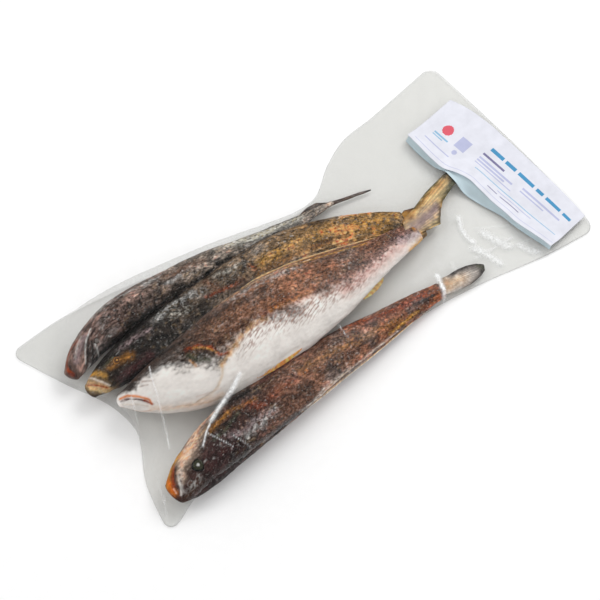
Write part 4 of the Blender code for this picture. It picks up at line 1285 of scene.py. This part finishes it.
def pouch_plan(u, v):
    """Spreads the square -1..1 over the pouch's outline.

    The patch is the blend of the near and far edges, plus the blend of the two ends, less the
    blend of the four corners.
    """
    u, v = rounded_corners(u, v)
    s, t = (u + 1) / 2, (v + 1) / 2

    def along(knots, share):
        first, last = knots[0][0], knots[-1][0]
        position = first + share * (last - first)
        return position, curve(position, knots)

    near = np.stack(along(NEAR_EDGE, s), -1)
    far = np.stack(along(FAR_EDGE, s), -1)
    head = np.stack(along(HEAD_END, t)[::-1], -1)
    tail = np.stack(along(TAIL_END, t)[::-1], -1)
    s, t = s[..., None], t[..., None]
    corners = (
        (1 - s) * (1 - t) * np.array(NEAR_EDGE[0])
        + s * (1 - t) * np.array(NEAR_EDGE[-1])
        + (1 - s) * t * np.array(FAR_EDGE[0])
        + s * t * np.array(FAR_EDGE[-1])
    )
    return (1 - t) * near + t * far + (1 - s) * head + s * tail - corners


class Ground:
    """A level grid of square cells under the pouch, on which heights are worked out."""

    low = np.array((-0.212, -0.102))
    cell = 0.001
    shape = (440, 224)

    @classmethod
    def cells(cls, x, y):
        """Whole cell numbers of places."""
        column = np.clip(np.round((x - cls.low[0]) / cls.cell).astype(int), 0, cls.shape[0] - 1)
        row = np.clip(np.round((y - cls.low[1]) / cls.cell).astype(int), 0, cls.shape[1] - 1)
        return column, row

    @classmethod
    def places(cls):
        """The x and y of every cell."""
        x = cls.low[0] + cls.cell * np.arange(cls.shape[0])
        y = cls.low[1] + cls.cell * np.arange(cls.shape[1])
        return np.meshgrid(x, y, indexing="ij")

    @classmethod
    def read(cls, heights, x, y):
        """Heights at any places, blended from the four cells round each."""
        across = np.clip((x - cls.low[0]) / cls.cell, 0, cls.shape[0] - 1.001)
        down = np.clip((y - cls.low[1]) / cls.cell, 0, cls.shape[1] - 1.001)
        i, j = across.astype(int), down.astype(int)
        return blend_cells(heights, i, j, across - i, down - j)


def neighbours(sheet):
    """Each point's four neighbours in a grid, which ends in copies of its rim."""
    padded = np.pad(sheet, 1, mode="edge")
    return padded[:-2, 1:-1], padded[2:, 1:-1], padded[1:-1, :-2], padded[1:-1, 2:]


def neighbours_mean(sheet):
    """The mean of each point's four neighbours."""
    return sum(neighbours(sheet)) / 4


def spread_down(heights, drop, steps):
    """Each point rises to its highest neighbour less drop, again and again: a skirt round peaks."""
    for _ in range(steps):
        heights = np.maximum(heights, np.maximum.reduce(neighbours(heights)) - drop)
    return heights


def drape(floor, held, sag_curvature, cell):
    """A sheet pulled down on floor, worked out on coarse cells first and then on finer ones.

    Each point sinks to its neighbours' mean less a sag, or rests on the floor. The sag for a
    cell is the curvature of the hanging sheet times the cell's area over four.
    """
    sheet = None
    for stride, sweeps in DRAPE_PASSES:
        rows, columns = floor.shape[0] // stride, floor.shape[1] // stride
        block = floor.reshape(rows, stride, columns, stride)
        level = block.max((1, 3))
        pinned = held.reshape(rows, stride, columns, stride).all((1, 3))
        sag = sag_curvature * (cell * stride) ** 2 / 4
        if sheet is None:
            sheet = np.full(level.shape, level.max())
        else:
            sheet = np.repeat(np.repeat(sheet, 2, 0), 2, 1)
        for _ in range(sweeps):
            sheet = np.where(pinned, level, np.maximum(level, neighbours_mean(sheet) - sag))
    for _ in range(DRAPE_SMOOTHING):
        sheet = np.where(held, floor, (sheet + neighbours_mean(sheet)) / 2)
    return sheet


def film_heights(settings):
    """Height of the upper film over every ground cell, and the height of what lies under it."""
    lying = np.zeros(Ground.shape)
    for piece in bpy.data.objects:
        if piece.name.startswith(("fish_", "eye_")) or piece.name.endswith("_fin"):
            points = np.empty(len(piece.data.vertices) * 3, np.float32)
            piece.data.vertices.foreach_get("co", points)
            points = points.reshape(-1, 3) + MIDDLE
            np.maximum.at(lying, Ground.cells(points[:, 0], points[:, 1]), points[:, 2])
    padded = np.pad(lying, 1)
    rows, columns = lying.shape
    shifts = [(i, j) for i in range(3) for j in range(3)]
    lying = np.maximum.reduce([padded[i : i + rows, j : j + columns] for i, j in shifts])
    lying = spread_down(lying, SKIRT_SLOPE * Ground.cell, SKIRT_STEPS)
    plan = pouch_plan(*unit_grid(OUTLINE_CELLS))
    inside = np.zeros(Ground.shape, bool)
    inside[Ground.cells(plan[..., 0], plan[..., 1])] = True
    floor = np.where(inside, np.maximum(lying + settings.clearance, RIM_HEIGHT), RIM_HEIGHT)
    return drape(floor, ~inside, SAG_CURVATURE, Ground.cell), floor


def tucked(plan, height, v):
    """Draws the foot of the film's near wall in under the fish, by the most where it is lowest."""
    reach = curve(plan[..., 0], WALL_TUCK) * (1 - ease(height, 0.0, 0.015))
    shift = reach * ease(-v, 0.55, 0.98)
    return np.stack([plan[..., 0], plan[..., 1] + shift], -1)


def film_relief(settings, sheet, floor, u, v):
    """Places, heights and whitening of the upper sheet's points over the square -1..1.

    Height = drape + slanting folded noise where it hangs free + each crease's bell curve.
    Whitening = haze and folds where it hangs free, or a crease's own where that is more + seam.
    On folds and creases the whitening is partly the film's own and partly painted highlight.
    """
    plan = pouch_plan(u, v)
    x, y = plan[..., 0], plan[..., 1]
    height = Ground.read(sheet, x, y)
    lying = Ground.read(floor, x, y)
    free = ease(height - lying, 0.0004, 0.0030)
    rim = np.minimum((1 - abs(u)) * HALF_SIZES[0], (1 - abs(v)) * HALF_SIZES[1]) * MM
    inner = ease(rim, 0.0, 0.008)
    slant = layered_noise((x * 0.8 + y * 0.6) / 0.021, (y * 0.8 - x * 0.6) / 0.009, 71)
    cross = layered_noise((x * 0.7 - y * 0.7) / 0.026, (y + x) * 0.7 / 0.010, 75)
    slant, cross = (1 - abs(2 * noise - 1) for noise in (slant, cross))
    loose = ease(x, 0.085, 0.14)
    wrinkle = settings.wrinkles * (slant**3 + 0.8 * cross**4)
    wrinkle = wrinkle * (0.18 + 0.82 * free) * (1 + 1.1 * loose)
    under_label = label_cover(x, y)
    height = height + wrinkle * inner * (1 - under_label)
    haze = settings.haze * (0.10 + 0.90 * free)
    # Whitening on the crests of the free wrinkles: partly the film's own, partly painted highlight.
    haze = haze + 0.05 * free * slant**6 + 0.10 * loose * free * cross**5
    haze = haze * (1 - 0.88 * ease(lying, 0.003, 0.009))
    for _, rise, width, whitening_and_highlight, line in CREASES:
        line = along_line(np.linspace(0, 1, 24), line) * MM
        distance = distance_to_line(plan, line) / MM
        ragged = distance * (0.8 + 0.4 * layered_noise(x / 0.004, y / 0.004, 83))
        bell = np.exp(-((ragged / width) ** 2))
        height = height + rise * MM * bell * inner * (1 - under_label)
        # A crease's whitening: partly the film's own, partly painted highlight.
        white = whitening_and_highlight * np.exp(-((ragged / (0.62 * width)) ** 2))
        haze = np.maximum(haze, white * (0.35 + 0.65 * inner))
    return plan, height, haze + 0.10 * np.maximum(1 - rim / SEAM_WIDTH, 0)


def lower_faces(low):
    """Faces of the lower sheet, from its point numbers at the upper sheet's places.

    Its cells are twice as large: quads inside, five corners by the rim where one of the upper
    sheet's points lies between two of its own, and six at the four corners.
    """
    coarse = low[::2, ::2]
    inside = [coarse[1:-2, 1:-2], coarse[2:-1, 1:-2], coarse[2:-1, 2:-1], coarse[1:-2, 2:-1]]
    a, b, mid = slice(1, -2), slice(2, -1), slice(3, -3, 2)
    rims = (
        (coarse[a, 0], low[mid, 0], coarse[b, 0], coarse[b, 1], coarse[a, 1]),
        (coarse[b, -1], low[mid, -1], coarse[a, -1], coarse[a, -2], coarse[b, -2]),
        (coarse[0, b], low[0, mid], coarse[0, a], coarse[1, a], coarse[1, b]),
        (coarse[-1, a], low[-1, mid], coarse[-1, b], coarse[-2, b], coarse[-2, a]),
    )
    corners = (
        ((0, 0), (1, 0), (2, 0), (2, 2), (0, 2), (0, 1)),
        ((-1, 0), (-1, 1), (-1, 2), (-3, 2), (-3, 0), (-2, 0)),
        ((-1, -1), (-2, -1), (-3, -1), (-3, -3), (-1, -3), (-1, -2)),
        ((0, -1), (0, -2), (0, -3), (2, -3), (2, -1), (1, -1)),
    )
    return [
        np.stack(inside, -1).reshape(-1, 4),
        np.concatenate([np.stack(rim, -1) for rim in rims]),
        np.array([[low[place] for place in corner] for corner in corners]),
    ]


def make_film(settings):
    """The pouch as one closed envelope: the draped upper sheet and a flat lower sheet.

    The lower sheet has cells twice as large and shares the upper sheet's rim.
    """
    sheet, floor = film_heights(settings)
    u, v = unit_grid(FILM_CELLS)
    plan, height, haze = film_relief(settings, sheet, floor, u, v)
    count = u.size
    upper_ids = np.arange(count).reshape(u.shape)
    on_rim = np.ones(u.shape, bool)
    on_rim[1:-1, 1:-1] = False
    height = np.where(on_rim, RIM_HEIGHT * 0.8, np.maximum(height, RIM_HEIGHT))
    even = ~on_rim
    even[1::2, :] = False
    even[:, 1::2] = False
    low_ids = np.full(u.shape, -1)
    low_ids[even] = count + np.arange(even.sum())
    low_ids[on_rim] = upper_ids[on_rim]
    low_noise = layered_noise(plan[even][:, 0] / 0.03, plan[even][:, 1] / 0.02, 91)
    low_height = UNDERSIDE_HEIGHT + 0.0004 * low_noise
    upper = np.concatenate([tucked(plan, height, v), height[..., None]], -1).reshape(-1, 3)
    lower_plan = tucked(plan, np.zeros(u.shape), v)[even]
    points = np.concatenate([upper, np.concatenate([lower_plan, low_height[:, None]], -1)])
    faces = [grid_faces(*u.shape)] + [face[:, ::-1] for face in lower_faces(low_ids)]
    piece = add_piece("film_pouch", points, faces)
    values = np.concatenate([haze.ravel(), np.full(int(even.sum()), settings.haze * 0.8)])
    add_values(piece.data, "haze", "FLOAT", np.clip(values, 0, 0.95))
    piece.data.materials.append(film_material(settings))
    return sheet


def label_plan(u, v, beyond=0.0):
    """Places of the label's points: its length runs towards -Y, its inner edge is at v = 1.

    The edges wander by LABEL_EDGES, and beyond moves the points past the inner edge.
    """
    turn = np.radians(LABEL_TURN)
    along = u * LABEL_LENGTH / 2
    inward = v * LABEL_HEIGHT / 2
    edges = curve(u, LABEL_EDGES) * MM
    bent = inward + edges[..., 0] * ease(v, -0.1, 1.0) + edges[..., 1] * ease(-v, 0.0, 1.0) + beyond
    x = LABEL_CENTRE[0] - bent * np.cos(turn) + along * np.sin(turn)
    y = LABEL_CENTRE[1] - bent * np.sin(turn) - along * np.cos(turn)
    return x, y, along, inward


def label_cover(x, y):
    """1 under the label and 0 past 3 mm outside it."""
    turn = np.radians(LABEL_TURN)
    dx, dy = x - LABEL_CENTRE[0], y - LABEL_CENTRE[1]
    along = abs(dx * np.sin(turn) - dy * np.cos(turn)) - LABEL_LENGTH / 2
    inward = abs(dx * np.cos(turn) + dy * np.sin(turn) - 0.002) - LABEL_HEIGHT / 2 - 0.004
    return 1 - ease(np.maximum(along, inward), 0.0005, 0.003)


def label_heights(sheet, u, v):
    """Height of the label: it hangs over the film, and its inner edge curls up in waves."""
    x, y, _, _ = label_plan(*unit_grid(LABEL_HANG_CELLS))
    under = Ground.read(sheet, x, y)
    hung = np.full(under.shape, under.max())
    for _ in range(LABEL_SWEEPS):
        hung = np.maximum(under, neighbours_mean(hung) - LABEL_SAG)
    for _ in range(LABEL_SMOOTHING):
        hung = (hung + neighbours_mean(hung)) / 2
    across, down = ((place + 1) / 2 * cells for place, cells in zip((u, v), LABEL_HANG_CELLS))
    i = np.clip(across.astype(int), 0, LABEL_HANG_CELLS[0] - 1)
    j = np.clip(down.astype(int), 0, LABEL_HANG_CELLS[1] - 1)
    height = blend_cells(hung, i, j, ease(across - i, 0, 1), ease(down - j, 0, 1))
    wave = 1 + LABEL_WAVE / LABEL_CURL * np.cos(np.pi * LABEL_WAVES * u)
    return height + LABEL_GAP + LABEL_CURL * np.maximum(v, 0) ** 2 * wave


def paper_piece(name, x, y, height, thickness):
    """A sheet of paper of even thickness as a piece."""
    upper = np.stack([x, y, height + thickness], -1)
    points, faces = closed_sheet(upper, np.stack([x, y, height], -1))
    return add_piece(name, points, faces, stands_for="label")


def make_label(settings, sheet):
    """The paper label: a curled sheet with plain printed bars and round marks."""
    u, v = unit_grid(LABEL_CELLS)
    x, y, along, inward = label_plan(u, v)
    height = label_heights(sheet, u, v)
    height = height + 0.00035 * np.exp(-(((along + 0.0665) / 0.0012) ** 2))
    height = height + 0.00025 * (layered_noise(along / 0.02, inward / 0.012, 101) - 0.5)
    edge_u = 0.0002 * (smooth_noise(inward / 0.003, 0 * inward, 103) - 0.5) * abs(u) ** 20
    piece = paper_piece("paper_label", x + edge_u, y, height, settings.thickness)
    inks = ("paper", "blue", "pale blue", "red", "lavender", "slate")
    for ink in inks:
        name = ink if ink == "paper" else ink + " print"
        colour = getattr(settings, ink.replace(" ", "_"))
        piece.data.materials.append(paper_material(name, colour, PAPER_ROUGHNESS))
    along, inward = ((grid[:-1, :-1] + grid[1:, 1:]) / 2 / MM for grid in (along, inward))
    index = np.zeros(along.shape, int)
    for ink, a0, a1, b0, b1 in PRINT:
        index[(along > a0) & (along < a1) & (inward > b0) & (inward < b1)] = inks.index(ink)
    for ink, place_along, place_across, radius in ROUND_PRINT:
        index[np.hypot(along - place_along, inward - place_across) < radius] = inks.index(ink)
    indices = np.zeros(len(piece.data.polygons), np.int32)
    indices[: index.size] = index.ravel()
    piece.data.polygons.foreach_set("material_index", indices)


def make_shadow_strip(settings, sheet):
    """The strip of paper that slants from under the label's inner edge down to the film.

    Its teal-grey colour is partly the label's rolled underside and partly painted shadow that the
    label casts on the film.
    """
    u, v = unit_grid(FOLD_CELLS)
    u, across = 0.995 * u, (v + 1) / 2
    beyond = across * (FOLD_OVERLAP + curve(u, FOLD_WIDTH) * MM) - FOLD_OVERLAP
    x, y, _, _ = label_plan(u, 1 + 0 * u, beyond)
    film = Ground.read(sheet, x, y) + 0.0005
    under = label_heights(sheet, u, 0.9 + 0 * u) - 0.0012
    low = np.maximum(film, under + (film - under) * ease(across, 0.2, 0.95))
    low = low + 0.0004 * layered_noise(u * 14, across * 3, 107) * (1 - across)
    piece = paper_piece("paper_fold", x, y, low, settings.thickness)
    piece.data.materials.append(paper_material("shaded paper", settings.fold, PAPER_ROUGHNESS))


def add_light(name, power, size, place, aim):
    """A square soft light at a place, turned towards aim."""
    data = bpy.data.lights.new(name, "AREA")
    data.energy = power
    data.size = size
    light = bpy.data.objects.new(name, data)
    light.location = place
    direction = np.array(place, float) - np.array(aim, float)
    flat = np.hypot(direction[0], direction[1])
    light.rotation_euler = (np.arctan2(flat, direction[2]), 0, np.arctan2(direction[0], -direction[1]))
    bpy.context.scene.collection.objects.link(light)


def add_camera(settings):
    """The camera at the photograph's viewing angle, moved sideways so that the frame fits."""
    azimuth, elevation = np.radians(settings.azimuth), np.radians(settings.elevation)
    back = np.array([
        np.sin(azimuth) * np.cos(elevation), -np.cos(azimuth) * np.cos(elevation), np.sin(elevation)
    ])
    right = np.array([np.cos(azimuth), np.sin(azimuth), 0.0])
    up = np.cross(back, right)
    place = np.array(CAMERA_AIM) - MIDDLE + settings.distance * back
    place = place + CAMERA_SHIFT[0] * right + CAMERA_SHIFT[1] * up
    data = bpy.data.cameras.new("camera")
    data.sensor_width = SENSOR_WIDTH
    data.lens = settings.lens
    camera = bpy.data.objects.new("camera", data)
    camera.location = place
    camera.rotation_euler = (np.pi / 2 - elevation, 0, azimuth)
    bpy.context.scene.collection.objects.link(camera)
    bpy.context.scene.camera = camera


class FISHPOUCH_OT_bodies(bpy.types.Operator):
    """Adds the bodies of the four smoked fish"""

    bl_idname = "fishpouch.bodies"
    bl_label = "Fish bodies"

    def execute(self, context):
        for number, key in enumerate(FISH):
            make_body(key, context.scene.fish_settings, BODY_SEEDS[0] + BODY_SEEDS[1] * number)
        return {"FINISHED"}


class FISHPOUCH_OT_eyes(bpy.types.Operator):
    """Adds one clouded eye to each fish"""

    bl_idname = "fishpouch.eyes"
    bl_label = "Eyes"

    def execute(self, context):
        for key in EYES:
            make_eye(key)
        return {"FINISHED"}


class FISHPOUCH_OT_fins(bpy.types.Operator):
    """Adds the tail fins and the fins that are folded against the bodies"""

    bl_idname = "fishpouch.fins"
    bl_label = "Fins"

    def execute(self, context):
        for number, (name, fin) in enumerate(FINS.items()):
            at = fin_columns(fin["rays"])
            start, end = (along_line(at, np.array(fin[side]) * MM) for side in ("from", "to"))
            make_fin(
                name, start, end, fin["pigments"], fin["rays"], fin["thickness"], fin["marks"],
                FIN_SEEDS[0] + FIN_SEEDS[1] * number,
            )
        for number, (name, row) in enumerate(FOLDED_FINS.items()):
            *place, pigments, rays = row
            start, end = folded_lines(*place, rays)
            seed = FOLDED_FIN_SEEDS[0] + FOLDED_FIN_SEEDS[1] * number
            make_fin(name, start, end, pigments, rays, FOLDED_THICKNESS, (), seed)
        return {"FINISHED"}


class FISHPOUCH_OT_film(bpy.types.Operator):
    """Adds the clear pouch, and the paper label that lies on it"""

    bl_idname = "fishpouch.film"
    bl_label = "Film and label"

    def execute(self, context):
        sheet = make_film(context.scene.film_settings)
        make_label(context.scene.label_settings, sheet)
        make_shadow_strip(context.scene.label_settings, sheet)
        return {"FINISHED"}


class FISHPOUCH_OT_stage(bpy.types.Operator):
    """Adds the floor, the soft lights and the camera"""

    bl_idname = "fishpouch.stage"
    bl_label = "Stage"

    def execute(self, context):
        settings = context.scene.stage_settings
        u, v = unit_grid((2, 2))
        u, v = FLOOR_HALF_SIZE * u, FLOOR_HALF_SIZE * v
        points = np.stack([u, v, np.full(u.shape, FLOOR_HEIGHT)], -1).reshape(-1, 3)
        mesh = bpy.data.meshes.new("floor")
        mesh.from_pydata(points.tolist(), [], grid_faces(3, 3).tolist())
        floor = bpy.data.objects.new("floor", mesh)
        context.scene.collection.objects.link(floor)
        mesh.materials.append(paper_material("floor", settings.floor, 0.9, 0.012))
        world = bpy.data.worlds.new("studio")
        world.use_nodes = True
        sky = world.node_tree.nodes["Background"]
        sky.inputs["Color"].default_value = (1.0, 1.0, 1.0, 1.0)
        sky.inputs["Strength"].default_value = settings.sky
        context.scene.world = world
        for key, (name, size, place, aim) in LIGHTS.items():
            add_light(name, getattr(settings, key), size, place, aim)
        context.scene.view_settings.view_transform = "Standard"
        add_camera(settings)
        return {"FINISHED"}


class FISHPOUCH_PT_panel(bpy.types.Panel):
    """Lists the pieces of the fish pouch"""

    bl_idname = "FISHPOUCH_PT_panel"
    bl_label = "Fish pouch"
    bl_space_type = "VIEW_3D"
    bl_region_type = "UI"
    bl_category = "Fish pouch"

    def draw(self, context):
        for operator in OPERATORS:
            self.layout.operator(operator.bl_idname)
        for group in SETTINGS:
            box = self.layout.box()
            box.label(text=group.replace("_", " ").capitalize())
            settings = getattr(context.scene, group)
            for name in settings.__annotations__:
                box.prop(settings, name)


OPERATORS = (
    FISHPOUCH_OT_bodies, FISHPOUCH_OT_eyes, FISHPOUCH_OT_fins, FISHPOUCH_OT_film, FISHPOUCH_OT_stage,
)
SETTINGS = {
    "fish_settings": FishSettings,
    "film_settings": FilmSettings,
    "label_settings": LabelSettings,
    "stage_settings": StageSettings,
}


def register():
    for group, settings in SETTINGS.items():
        bpy.utils.register_class(settings)
        setattr(bpy.types.Scene, group, bpy.props.PointerProperty(type=settings))
    for operator in OPERATORS:
        bpy.utils.register_class(operator)
    bpy.utils.register_class(FISHPOUCH_PT_panel)


def unregister():
    bpy.utils.unregister_class(FISHPOUCH_PT_panel)
    for operator in reversed(OPERATORS):
        bpy.utils.unregister_class(operator)
    for group, settings in reversed(SETTINGS.items()):
        delattr(bpy.types.Scene, group)
        bpy.utils.unregister_class(settings)


def main():
    register()
    bpy.ops.fishpouch.bodies()
    bpy.ops.fishpouch.eyes()
    bpy.ops.fishpouch.fins()
    bpy.ops.fishpouch.film()
    bpy.ops.fishpouch.stage()


if __name__ == "__main__":
    main()
